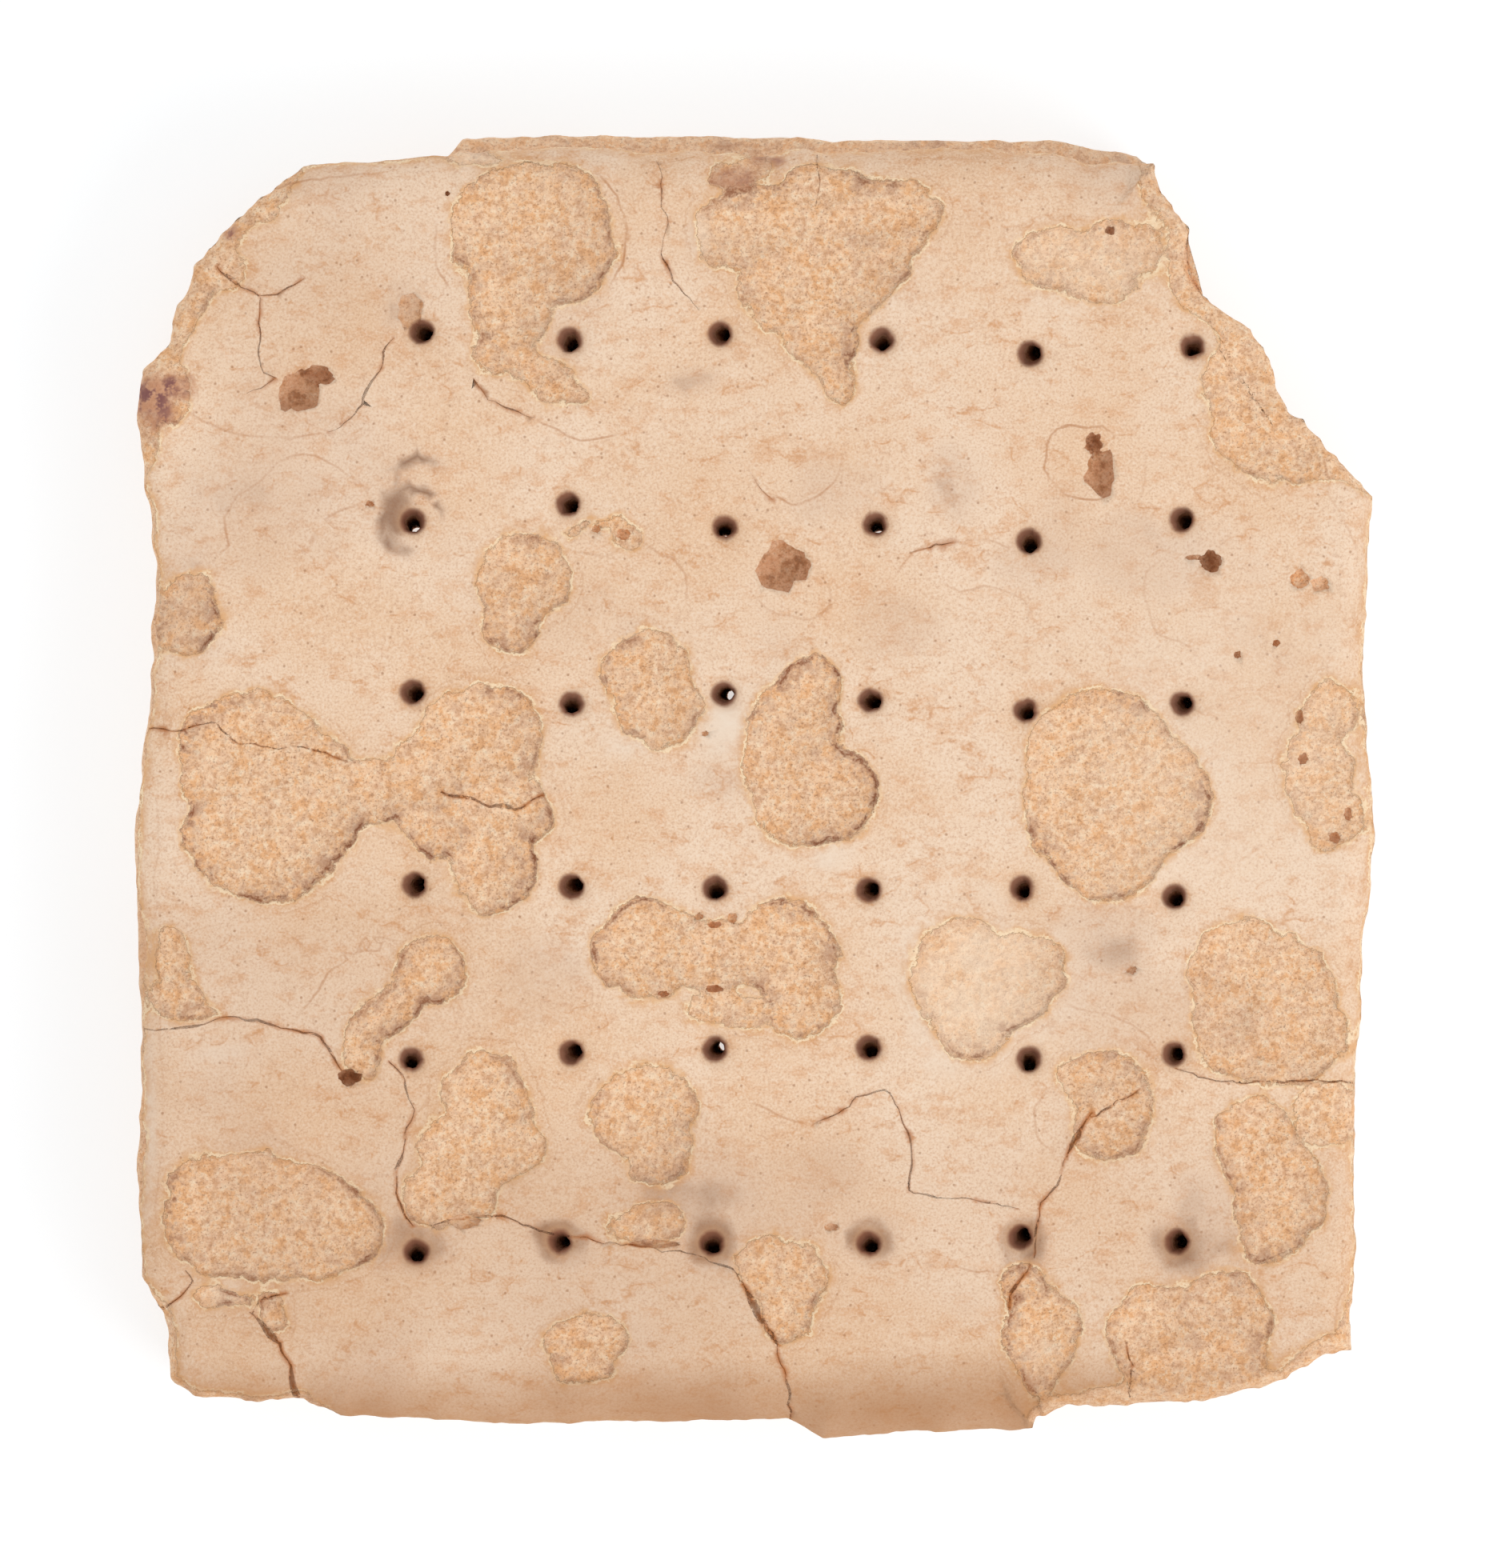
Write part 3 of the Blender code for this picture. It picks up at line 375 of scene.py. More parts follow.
def edge_ring(cells):
    """The outline as a ring of stations, counterclockwise from the lower left grid corner.

    Each side between two grid corners is the run of corner points spaced out evenly by length, moved
    along its normal by noise, and each run's shoulder, drop and ledge ease into the next one's. Columns
    are x, y, shoulder, drop, ledge, roughness and bareness.
    """
    corners = [(x, y, wander, shoulder, drop, ledge, rough, bare)
               for _, wander, shoulder, drop, ledge, rough, bare, points in EDGE_RUNS for x, y in points]
    table = np.array(corners)
    starts = [next(i for i, row in enumerate(corners) if row[:2] == corner) for corner in GRID_CORNERS]
    sides = []
    for side, start in enumerate(starts):
        end = starts[(side + 1) % 4]
        span = np.arange(start, end + 1 if end > start else end + 1 + len(table)) % len(table)
        run = table[span]
        length = np.concatenate([[0], np.cumsum(np.hypot(*np.diff(run[:, :2], axis=0).T))])
        places = np.linspace(0, length[-1], cells[side % 2] + 1)[:-1]
        sides.append(np.stack([np.interp(places, length, column) for column in run.T], axis=1))
    ring = np.vstack(sides)
    places = ring[:, :2]
    x, y = places.T
    along = np.roll(places, -HEADING_REACH, axis=0) - np.roll(places, HEADING_REACH, axis=0)
    outward = np.stack([along[:, 1], -along[:, 0]], axis=1)
    outward /= np.linalg.norm(outward, axis=1, keepdims=True)
    stray = ring[:, 2] * (value_noise(x, y, 2.3, 21) + 0.6 * value_noise(x, y, 1.1, 22)
                          + 0.35 * value_noise(x, y, 0.5, 23))
    places = places + outward * stray[:, None]
    low = places.min(axis=0)
    high = places.max(axis=0)
    places = (places - (low + high) / 2) * np.array([WIDTH, LENGTH]) / (high - low)
    ring[:, 5] *= 1 + 0.35 * value_noise(x, y, 3.1, 24) + 0.4 * value_noise(x, y, 0.9, 25)
    reach = max(1, round(EASE * len(ring) / (2 * (WIDTH + LENGTH))))
    spread = sum(np.roll(ring[:, 3:6], shift, axis=0) for shift in range(-reach, reach + 1))
    ring[:, 3:6] = spread / (2 * reach + 1)
    return np.hstack([places, ring[:, 3:]])


def inward(places):
    """Unit directions in from the edge: the slope of a squarish bowl, so that no two of them cross."""
    slope = np.stack([(2 * places[:, 0] / WIDTH) ** 3 / WIDTH,
                      (2 * places[:, 1] / LENGTH) ** 3 / LENGTH], axis=1)
    return -slope / np.linalg.norm(slope, axis=1, keepdims=True)


def grid_ring(cells):
    """Index pairs of a grid's border, counterclockwise from the lower left, one for each station."""
    across, up = cells
    right, left = np.arange(across), np.arange(across, 0, -1)
    rise, fall = np.arange(up), np.arange(up, 0, -1)
    i = np.concatenate([right, np.full(up, across), left, np.zeros(up, int)])
    j = np.concatenate([np.zeros(across, int), rise, np.full(across, up), fall])
    return i, j


def filled_grid(ring, cells):
    """Fill a ring of stations with a grid: the blend of its left and right sides, plus that of its lower
    and upper sides, less that of its four corners (a Coons patch). Each inner point then moves to the
    middle of its four neighbours, round after round, so that the rough edge folds no cell over."""
    across, up = cells
    i, j = grid_ring(cells)
    grid = np.zeros((across + 1, up + 1, ring.shape[1]))
    grid[i, j] = ring
    u = np.linspace(0, 1, across + 1)[:, None, None]
    v = np.linspace(0, 1, up + 1)[None, :, None]
    sides = (1 - u) * grid[:1] + u * grid[-1:]
    ends = (1 - v) * grid[:, :1] + v * grid[:, -1:]
    corners = ((1 - u) * (1 - v) * grid[0, 0] + u * (1 - v) * grid[-1, 0]
               + (1 - u) * v * grid[0, -1] + u * v * grid[-1, -1])
    filled = sides + ends - corners
    filled[i, j] = ring
    for _ in range(RELAX_ROUNDS):
        beside = filled[:-2, 1:-1] + filled[2:, 1:-1] + filled[1:-1, :-2] + filled[1:-1, 2:]
        filled[1:-1, 1:-1] = beside / 4
    return filled


def unfolded(grid):
    """Take the folds out of a grid that hollows in its edge have left: each inner point moves to the
    middle of its neighbours as a Winslow grid weighs them, by the spacing and slant of the lines."""
    for _ in range(UNFOLD_ROUNDS):
        east, west, north, south = grid[2:, 1:-1], grid[:-2, 1:-1], grid[1:-1, 2:], grid[1:-1, :-2]
        across = (east - west)[:, :, :2]
        along = (north - south)[:, :, :2]
        twist = grid[2:, 2:] - grid[:-2, 2:] - grid[2:, :-2] + grid[:-2, :-2]
        wide = np.sum(across ** 2, axis=2, keepdims=True)
        tall = np.sum(along ** 2, axis=2, keepdims=True)
        slant = np.sum(across * along, axis=2, keepdims=True)
        middle = tall * (east + west) + wide * (north + south) - slant * twist / 2
        grid[1:-1, 1:-1] = middle / (2 * (wide + tall))
    return grid


def nearest_station(x, y, stations):
    """Index of the edge station nearest to each point, and the distance to the edge there: that to the
    nearer of the two segments a + t b which meet in the station, with t = (p - a) . b / b^2 from 0 to 1."""
    index = np.zeros(x.size, int)
    distance = np.zeros(x.size)
    flat = np.stack([x.ravel(), y.ravel()], axis=1)
    for start in range(0, len(flat), CHUNK):
        part = flat[start:start + CHUNK]
        gaps = (part[:, :1] - stations[:, 0]) ** 2 + (part[:, 1:] - stations[:, 1]) ** 2
        nearest = gaps.argmin(axis=1)
        index[start:start + CHUNK] = nearest
        closest = np.full(len(part), np.inf)
        for other in (nearest - 1, (nearest + 1) % len(stations)):
            step = stations[other, :2] - stations[nearest, :2]
            away = part - stations[nearest, :2]
            along = np.clip((away * step).sum(axis=1) / (step ** 2).sum(axis=1), 0, 1)
            closest = np.minimum(closest, np.hypot(*(away - along[:, None] * step).T))
        distance[start:start + CHUNK] = closest
    return index.reshape(x.shape), distance.reshape(x.shape)


def edge_fall(x, y, skin_edge):
    """How far the top face has fallen, by the nearest station of the skin's edge: a quarter of an
    ellipse as deep as the station's drop and as wide as its shoulder."""
    nearest, distance = nearest_station(x, y, skin_edge)
    share = 1 - np.clip(distance / skin_edge[nearest, 2], 0, 1)
    return skin_edge[nearest, 3] * (1 - np.sqrt(1 - share ** 2))


def broken_edge(x, y, skin_edge):
    """Distance to the line where the skin ends beside a broken edge, less than zero outside it. The line
    runs as far from the edge as that is bare of skin, swayed by noise."""
    nearest, distance = nearest_station(x, y, skin_edge)
    width = FLAKE_WIDTH * skin_edge[nearest, 6] * (1 + 0.8 * fractal(x, y, 2.6, 31, 2))
    return distance - width + 0.12 * fractal(x, y, 0.8, 33, 2) + 0.12


def patch_field(x, y, patches):
    """Distance to the nearest patch's rim, less than zero inside, that patch's depth, and how dark its rim
    is painted with dirt and painted shade.

    A lobe's distance is a turned ellipse's, q (q - 1) / |p / r^2| with q = |p / r|. The lobes of one
    patch are joined smoothly, and noise of two sizes makes the rim ragged.
    """
    nearest = np.full(x.shape, FAR)
    depth = np.zeros(x.shape)
    dirt_and_shade = np.zeros(x.shape)
    for patch_depth, patch_dirt_and_shade, lobes in patches.values():
        field = np.full(x.shape, FAR)
        for centre_x, centre_y, half_x, half_y, turn in lobes:
            reach = max(half_x, half_y) + FAR
            near = (abs(x - centre_x) < reach) & (abs(y - centre_y) < reach)
            turn = math.radians(turn)
            across = (x[near] - centre_x) * math.cos(turn) + (y[near] - centre_y) * math.sin(turn)
            up = (y[near] - centre_y) * math.cos(turn) - (x[near] - centre_x) * math.sin(turn)
            q = np.hypot(across / half_x, up / half_y) + 1e-6
            distance = q * (q - 1) / (np.hypot(across / half_x ** 2, up / half_y ** 2) + 1e-6)
            field[near] = joined(field[near], distance, LOBE_BLEND)
        closer = field < nearest
        nearest = np.where(closer, field, nearest)
        depth = np.where(closer, patch_depth, depth)
        dirt_and_shade = np.where(closer, patch_dirt_and_shade, dirt_and_shade)
    ragged = 0.45 * fractal(x, y, 2.4, 41, 2) + 0.36 * fractal(x, y, 0.9, 44, 3)
    return nearest + ragged * smooth_step(FAR, 1.5, nearest), depth, dirt_and_shade


def joined(field, other, reach):
    """Two distance fields as one: the smaller, less up to a quarter of reach where they are alike, so
    that no sliver of skin is left between."""
    blend = np.clip(0.5 + (field - other) / (2 * reach), 0, 1)
    return field * (1 - blend) + other * blend - reach * blend * (1 - blend)


def hole_places():
    """Centres of the docker holes, as an array of rows by columns by x and y."""
    column, row = np.meshgrid(np.arange(HOLE_COUNT), np.arange(HOLE_COUNT))
    middle = (HOLE_COUNT - 1) / 2
    even = np.stack([HOLE_CENTRE[0] + (column - middle) * HOLE_PITCH[0],
                     HOLE_CENTRE[1] - (row - middle) * HOLE_PITCH[1]], axis=2)
    return even + np.array(HOLE_STRAYS)


def hole_distance(x, y):
    """Distance to the nearest docker hole's centre."""
    nearest = np.full(x.shape, FAR)
    for hole_x, hole_y in hole_places().reshape(-1, 2):
        nearest = np.minimum(nearest, np.hypot(x - hole_x, y - hole_y))
    return nearest


def crack_path(turns, seed):
    """A crack's line: its turning points spaced out evenly, with noise of two sizes across it."""
    turns = np.array(turns)
    length = np.concatenate([[0], np.cumsum(np.hypot(*np.diff(turns, axis=0).T))])
    along = np.linspace(0, length[-1], max(4, round(length[-1] / CRACK_STEP)))
    path = np.stack([np.interp(along, length, turns[:, k]) for k in (0, 1)], axis=1)
    heading = np.gradient(path, axis=0)
    side = np.stack([-heading[:, 1], heading[:, 0]], axis=1)
    side /= np.linalg.norm(side, axis=1, keepdims=True)
    flat = along * 0
    stray = 1.6 * value_noise(along, flat, 1.6, seed) + value_noise(along, flat, 0.5, seed + 1)
    return path + side * (CRACK_STRAY * stray)[:, None], side


def nearest_line(x, y, lines, seed):
    """Distance to the nearest of some lines, which side of it, its own number from the table, and how
    far along it, from 0 to 1.

    A line is a row of segments a + t b. The nearest place on one has t = (p - a) . b / b^2, held between
    0 and 1, and the sign of b x (p - a) tells the side.
    """
    nearest = np.full(x.shape, FAR)
    side = np.ones(x.shape)
    size = np.zeros(x.shape)
    share = np.zeros(x.shape)
    for number, row in enumerate(lines.values()):
        path, _ = crack_path(row[-1], seed + 3 * number)
        low = path.min(axis=0) - LINE_MARGIN
        high = path.max(axis=0) + LINE_MARGIN
        near = np.nonzero((x > low[0]) & (x < high[0]) & (y > low[1]) & (y < high[1]))
        if near[0].size == 0:
            continue
        step = np.diff(path, axis=0)
        across = x[near][:, None] - path[:-1, 0]
        up = y[near][:, None] - path[:-1, 1]
        part = np.clip((across * step[:, 0] + up * step[:, 1]) / (step ** 2).sum(axis=1), 0, 1)
        gaps = np.hypot(across - part * step[:, 0], up - part * step[:, 1])
        pick = (np.arange(len(gaps)), gaps.argmin(axis=1))
        gap = gaps[pick]
        turned = step[pick[1], 0] * up[pick] - step[pick[1], 1] * across[pick]
        closer = gap < nearest[near]
        nearest[near] = np.where(closer, gap, nearest[near])
        side[near] = np.where(closer, np.where(turned < 0, -1, 1), side[near])
        size[near] = np.where(closer, row[0], size[near])
        share[near] = np.where(closer, (pick[1] + part[pick]) / len(step), share[near])
    return nearest, side, size, share


def bubble_share(x, y):
    """How far out in the nearest burst bubble a place is: 0 at its middle, 1 at its mouth's edge."""
    nearest = np.full(x.shape, FAR)
    for centre_x, centre_y, half_x, half_y, *_ in BUBBLES:
        nearest = np.minimum(nearest, np.hypot((x - centre_x) / half_x, (y - centre_y) / half_y))
    return nearest


def top_height(x, y, skin_edge):
    """Height of the top face: crown less the edge's fall, dimples round the pins, faint waves in the
    skin, raised lips beside the cracks, and patches sunk below it with a grainy floor."""
    skin = crown_height(x, y) - edge_fall(x, y, skin_edge)
    skin = skin + 0.05 * fractal(x, y, 4.0, 51) + 0.012 * fractal(x, y, 0.9, 54, 2)
    skin = skin - 0.26 * np.exp(-(hole_distance(x, y) / 1.1) ** 2)
    gap, _, width, _ = nearest_line(x, y, CRACKS, CRACK_SEED)
    skin = skin + 0.4 * width * np.exp(-(gap / 0.35) ** 2)
    field, depth, _ = patch_field(x, y, PATCHES)
    edge_field = broken_edge(x, y, skin_edge)
    depth = depth + (EDGE_FLAKE - depth) * smooth_step(0.8, -0.8, edge_field - field)
    field = joined(field, edge_field, EDGE_BLEND)
    sunk = smooth_step(0.0, -RIM_WIDTH, field) * (0.34 + 0.66 * smooth_step(-0.1, -2.2, field))
    grain = 0.085 * fractal(x, y, 1.3, 61, 2) + 0.07 * fractal(x, y, 0.55, 64, 2)
    curl = 0.05 * np.exp(-((field - 0.12) / 0.16) ** 2) * (0.4 + fractal(x, y, 1.5, 67, 1))
    return skin + curl - sunk * (depth + grain)


def slide_to_rims(grid, patches):
    """Move points near a patch's rim, or near its wall's foot, onto that line: one Newton step of the
    distance field, so that the mesh's edges follow the rim."""
    x, y = grid[1:-1, 1:-1, 0], grid[1:-1, 1:-1, 1]
    field = patch_field(x, y, patches)[0]
    small = 0.02
    caught = 0.085
    furthest = 0.07
    slope_x = (patch_field(x + small, y, patches)[0] - field) / small
    slope_y = (patch_field(x, y + small, patches)[0] - field) / small
    steep = np.maximum(slope_x ** 2 + slope_y ** 2, 0.3)
    target = np.where(field > -RIM_WIDTH / 2, 0.0, -RIM_WIDTH)
    step = np.where(abs(field - target) < caught, target - field, 0.0) / steep
    grid[1:-1, 1:-1, 0] += np.clip(step * slope_x, -furthest, furthest)
    grid[1:-1, 1:-1, 1] += np.clip(step * slope_y, -furthest, furthest)


def wall_rows(stations, profile, rows, seed):
    """A wall as a profile carried round the edge: rows of points by inset and height, roughened inward
    by noise that grows with the station's own roughness, with small pores where it is bare. The noise
    sets in over the first sixth.

    profile is a list of (share down the wall, inset, height), each inset and height an array.
    """
    places = stations[:, :2]
    towards = inward(places)
    rough, bare = stations[:, 5], stations[:, 6]
    shares = np.linspace(0, 1, rows)
    marks_light_and_shade = [mark for mark, _, _ in profile]
    made = []
    for share in shares:
        upper = min(np.searchsorted(marks_light_and_shade, share, side="right"), len(marks_light_and_shade) - 1)
        lower = upper - 1
        part = np.clip((share - marks_light_and_shade[lower]) / (marks_light_and_shade[upper] - marks_light_and_shade[lower]), 0, 1)
        inset = profile[lower][1] * (1 - part) + profile[upper][1] * part
        height = profile[lower][2] * (1 - part) + profile[upper][2] * part
        x, y = (places + towards * inset[:, None]).T
        grain = 0.5 + 0.5 * solid_fractal(x, y, height, 1.6, seed)
        pores = smooth_step(0.38, 0.62, solid_fractal(x, y, height, 0.8, seed + 5, 2)) * (0.12 + 0.3 * bare)
        inset = inset + min(1.0, 6 * share) * ((0.10 + 0.9 * rough) * grain + pores)
        made.append(np.column_stack([places + towards * inset[:, None], height]))
    return np.array(made)


def closed_layer(name, top_grid, cells, rows, hub_height):
    """A closed mesh: a grid, the wall rows that hang from its border, and a fan that shuts the last row.

    rows run away from the grid. The faces of a grid that looks up wind one way, and of one that looks
    down, whose rows rise, the other.
    """
    across, up = cells
    numbers = np.arange((across + 1) * (up + 1)).reshape(across + 1, up + 1)
    corners = [numbers[:-1, :-1], numbers[1:, :-1], numbers[1:, 1:], numbers[:-1, 1:]]
    quads = np.stack(corners, axis=-1).reshape(-1, 4)
    border = numbers[grid_ring(cells)]
    count = len(border)
    below = numbers.size + np.arange((len(rows) - 1) * count).reshape(-1, count)
    rings = np.vstack([border[None], below])
    after = np.roll(rings, -1, axis=1)
    walls = np.stack([rings[:-1], rings[1:], after[1:], after[:-1]], axis=-1).reshape(-1, 4)
    hub = numbers.size + below.size
    fan = np.stack([rings[-1], np.full(count, hub), after[-1]], axis=-1)
    points = np.vstack([top_grid.reshape(-1, 3), rows[1:].reshape(-1, 3), [(0.0, 0.0, hub_height)]])
    if rows[-1, 0, 2] > rows[0, 0, 2]:
        quads, walls, fan = quads[:, ::-1], walls[:, ::-1], fan[:, ::-1]
    return mesh_object(name, points, [*quads.tolist(), *walls.tolist(), *fan.tolist()])


def mesh_object(name, points, faces):
    """A smooth-shaded object at the origin from points in millimetres."""
    mesh = bpy.data.meshes.new(name)
    mesh.from_pydata((np.asarray(points) * MM).tolist(), [], faces)
    mesh.shade_smooth()
    made = bpy.data.objects.new(name, mesh)
    bpy.context.scene.collection.objects.link(made)
    return made


def make_upper_layer():
    """The skin and the upper half of the crumb: the top grid, and its wall down to the crevice."""
    stations = edge_ring(UPPER_CELLS)
    towards = inward(stations[:, :2])
    skin_edge = stations.copy()
    skin_edge[:, :2] += towards * stations[:, 4:5]
    grid = filled_grid(skin_edge, UPPER_CELLS)[:, :, :3]
    skin_edge = skin_edge[::EDGE_THIN]
    slide_to_rims(grid, PATCHES)
    grid[:, :, 2] = top_height(grid[:, :, 0], grid[:, :, 1], skin_edge)
    rim = grid[grid_ring(UPPER_CELLS)]
    x, y = stations[:, 0], stations[:, 1]
    foot = CREVICE - OVERLAP + CREVICE_SWAY * value_noise(x, y, 6.0, 12)
    ledge = stations[:, 4]
    profile = [
        (0.0, ledge, rim[:, 2]),
        (0.80, ledge + 0.05, foot + 0.9),
        (1.0, ledge + CREVICE_INSET + 0.5, foot),
    ]
    rows = wall_rows(stations, profile, UPPER_ROWS, 71)
    rows[0] = rim
    return closed_layer("upper_layer", grid, UPPER_CELLS, rows, CREVICE - OVERLAP), skin_edge


def make_lower_layer():
    """The lower half: its underside grid, and the wall that swells out and in again to the crevice."""
    stations = edge_ring(LOWER_CELLS)
    x, y = stations[:, 0], stations[:, 1]
    sway = CREVICE_SWAY * value_noise(x, y, 6.0, 12)
    flat = np.zeros(len(stations))
    ledge = stations[:, 4]
    profile = [
        (0.0, flat + BASE_INSET, flat),
        (0.15, flat + 0.35, flat + CHAMFER_TOP),
        (0.42, flat, flat + LOWER_BULGE),
        (0.72, flat + 0.05, LOWER_TOP + sway),
        (0.92, CREVICE_INSET + ledge, CREVICE + sway),
        (1.0, CREVICE_INSET + ledge + 1.0, CREVICE + sway + LIP_RISE),
    ]
    rows = wall_rows(stations, profile, LOWER_ROWS, 81)
    base = stations.copy()
    base[:, :2] = rows[0][:, :2]
    grid = unfolded(filled_grid(base, LOWER_CELLS)[:, :, :3])
    x, y = grid[:, :, 0], grid[:, :, 1]
    field, depth, _ = patch_field(x, y, UNDERSIDE_PATCHES)
    grid[:, :, 2] = smooth_step(0.0, -0.3, field) * (depth + 0.1 * fractal(x, y, 0.9, 91, 2))
    rows[0] = grid[grid_ring(LOWER_CELLS)]
    return closed_layer("lower_layer", grid, LOWER_CELLS, rows, CREVICE + LIP_RISE)


def bored_shape(centre, stretch, levels, seed, sides, ragged):
    """Rings of a hole, lowest first: at each level (height, radius, shift x, shift y) a circle stretched
    along x and y, its radius moved by noise round the ring."""
    angles = np.arange(sides) * 2 * math.pi / sides
    rings = []
    for height, radius, shift_x, shift_y in levels:
        wave = value_noise(3 * np.cos(angles) + 0.3 * height, 3 * np.sin(angles), 1.3, seed)
        fine = value_noise(7 * np.cos(angles), 7 * np.sin(angles) + height, 1.1, seed + 1)
        out = radius * (1 + ragged * (wave + 0.5 * fine))
        rings.append(np.column_stack([
            centre[0] + shift_x + stretch[0] * out * np.cos(angles),
            centre[1] + shift_y + stretch[1] * out * np.sin(angles),
            np.full(sides, height),
        ]))
    return np.array(rings)


def sort_apart(shapes):
    """Lists of shapes in which no two boxes meet, because one cutter may not run through itself."""
    groups = []
    for rings in shapes:
        low = rings.min(axis=(0, 1))
        high = rings.max(axis=(0, 1))
        for group in groups:
            if all(np.any((low > other_high) | (high < other_low)) for _, other_low, other_high in group):
                group.append((rings, low, high))
                break
        else:
            groups.append([(rings, low, high)])
    return [[rings for rings, _, _ in group] for group in groups]


def join_cutters(name, shapes):
    """One object from lofted shapes: each is an array of rings, walled between them, with a fan to the
    middle of its first and last ring."""
    points = []
    faces = []
    start = 0
    for rings in shapes:
        levels, count = rings.shape[:2]
        numbers = start + np.arange(levels * count).reshape(levels, count)
        after = np.roll(numbers, -1, axis=1)
        faces += np.stack([numbers[:-1], after[:-1], after[1:], numbers[1:]], axis=-1).reshape(-1, 4).tolist()
        hub = start + levels * count
        faces += np.stack([after[0], numbers[0], np.full(count, hub)], axis=-1).tolist()
        faces += np.stack([numbers[-1], after[-1], np.full(count, hub + 1)], axis=-1).tolist()
        points += [rings.reshape(-1, 3), rings[:1].mean(axis=1), rings[-1:].mean(axis=1)]
        start = hub + 2
    cutter = mesh_object(name, np.vstack(points), faces)
    cutter.hide_render = True
    return cutter


# Levels of a docker hole: depth below the skin, and the bore's radius there
PIN_LEVELS = [
    (12.6, 0.34), (10.0, 0.32), (7.0, 0.31), (4.5, 0.32), (3.0, 0.34), (2.0, 0.36), (1.4, 0.39),
    (0.95, 0.43), (0.6, 0.48), (0.3, 0.54), (0.1, 0.60), (0.0, 0.65), (-0.5, 0.95),
]
SLANT = 0.20          # how far the point of the cone stands off its mouth's centre
DRIFT_DEPTH = 11.0    # the depth at which a bore has drifted as far as these say, clear or dark
CLEAR_DRIFT = 0.36
DARK_DRIFT = 1.6
HOLE_SIDES = 26
BUBBLE_SIDES = 32


def docker_hole_shapes(skin_edge):
    """Each pin's hole: a cone that slants to the lower right, and below it a bore that drifts sideways with
    depth, which hides the floor except in the clear holes."""
    places = hole_places()
    tops = top_height(places[:, :, 0], places[:, :, 1], skin_edge)
    draw = np.random.default_rng(7)
    shapes = []
    for row in range(HOLE_COUNT):
        for column in range(HOLE_COUNT):
            top = tops[row, column]
            heading = draw.uniform(-1.6, 0.3)
            drift = CLEAR_DRIFT if (row, column) in CLEAR_HOLES else DARK_DRIFT
            size = draw.uniform(0.90, 1.12)
            levels = []
            for depth, radius in PIN_LEVELS:
                inside = max(depth, 0)
                shift = SLANT * (1 - math.exp(-inside)) + drift * (inside / DRIFT_DEPTH) ** 1.3
                aside = (shift * math.cos(heading), shift * math.sin(heading))
                levels.append((top - depth, size * radius, *aside))
            stretch = (draw.uniform(0.9, 1.1), draw.uniform(0.9, 1.1))
            seed = 300 + row * 8 + column
            shapes.append(bored_shape(places[row, column], stretch, levels, seed, HOLE_SIDES, 0.13))
    return shapes


def bubble_shapes(skin_edge):
    """Burst bubbles: a ragged mouth through the skin, a wider hollow under it and a round floor. A radius
    of 1 is stretched to the bubble's half widths."""
    table = np.array(BUBBLES)
    tops = top_height(table[:, 0], table[:, 1], skin_edge)
    shapes = []
    for number, (x, y, half_x, half_y, depth, widen) in enumerate(BUBBLES):
        wide = 1 + widen / min(half_x, half_y)
        levels = [(tops[number] - depth * part, radius, 0.0, 0.0) for part, radius in (
            (1.0, 0.30), (0.93, 0.60), (0.75, 0.90 * wide), (0.5, wide), (0.25, 1 + 0.6 * (wide - 1)))]
        levels += [(tops[number] - 0.05, 1.0, 0.0, 0.0), (tops[number] + 0.6, 1.05, 0.0, 0.0)]
        seed = 400 + 3 * number
        shapes.append(bored_shape((x, y), (half_x, half_y), levels, seed, BUBBLE_SIDES, 0.23))
    return shapes


def crack_shapes(skin_edge):
    """Cracks: a V carried along each crack's line, open to its half width at the skin, with noise in
    width and depth, closing at both ends."""
    shapes = []
    for number, (half_width, depth, turns) in enumerate(CRACKS.values()):
        path, side = crack_path(turns, CRACK_SEED + 3 * number)
        along = np.arange(len(path)) * CRACK_STEP
        flat = along * 0
        top = top_height(path[:, 0], path[:, 1], skin_edge)
        ends = np.minimum(along, along[::-1])
        closing = 0.25 + 0.75 * smooth_step(0.0, 1.6, ends)
        half = 0.85 * half_width * closing * (1 + 0.75 * value_noise(along, flat, 0.9, 600 + number))
        deep = depth * closing * (1 + 0.2 * value_noise(along, flat, 1.7, 640 + number))
        spread = half * (1 + CRACK_OVER / deep)
        low = np.column_stack([path, top - deep])
        left = np.column_stack([path + side * spread[:, None], top + CRACK_OVER])
        right = np.column_stack([path - side * spread[:, None], top + CRACK_OVER])
        shapes.append(np.stack([low, right, left], axis=1))
    return shapes


def cut(piece, cutter):
    """Take a cutter away from a piece for good."""
    away = piece.modifiers.new("cut", "BOOLEAN")
    away.operation = "DIFFERENCE"
    away.solver = "MANIFOLD"
    away.object = cutter


def settle(piece):
    """Make a piece's modifiers part of its mesh, without the doubled faces that a cut can leave."""
    shown = piece.evaluated_get(bpy.context.evaluated_depsgraph_get())
    mesh = bpy.data.meshes.new_from_object(shown)
    mesh.validate()
    piece.modifiers.clear()
    old = piece.data
    piece.data = mesh
    bpy.data.meshes.remove(old)
    mesh.name = piece.name
    mesh.materials.clear()
    mesh.polygons.foreach_set("material_index", np.zeros(len(mesh.polygons), np.int32))
    mesh.shade_smooth()
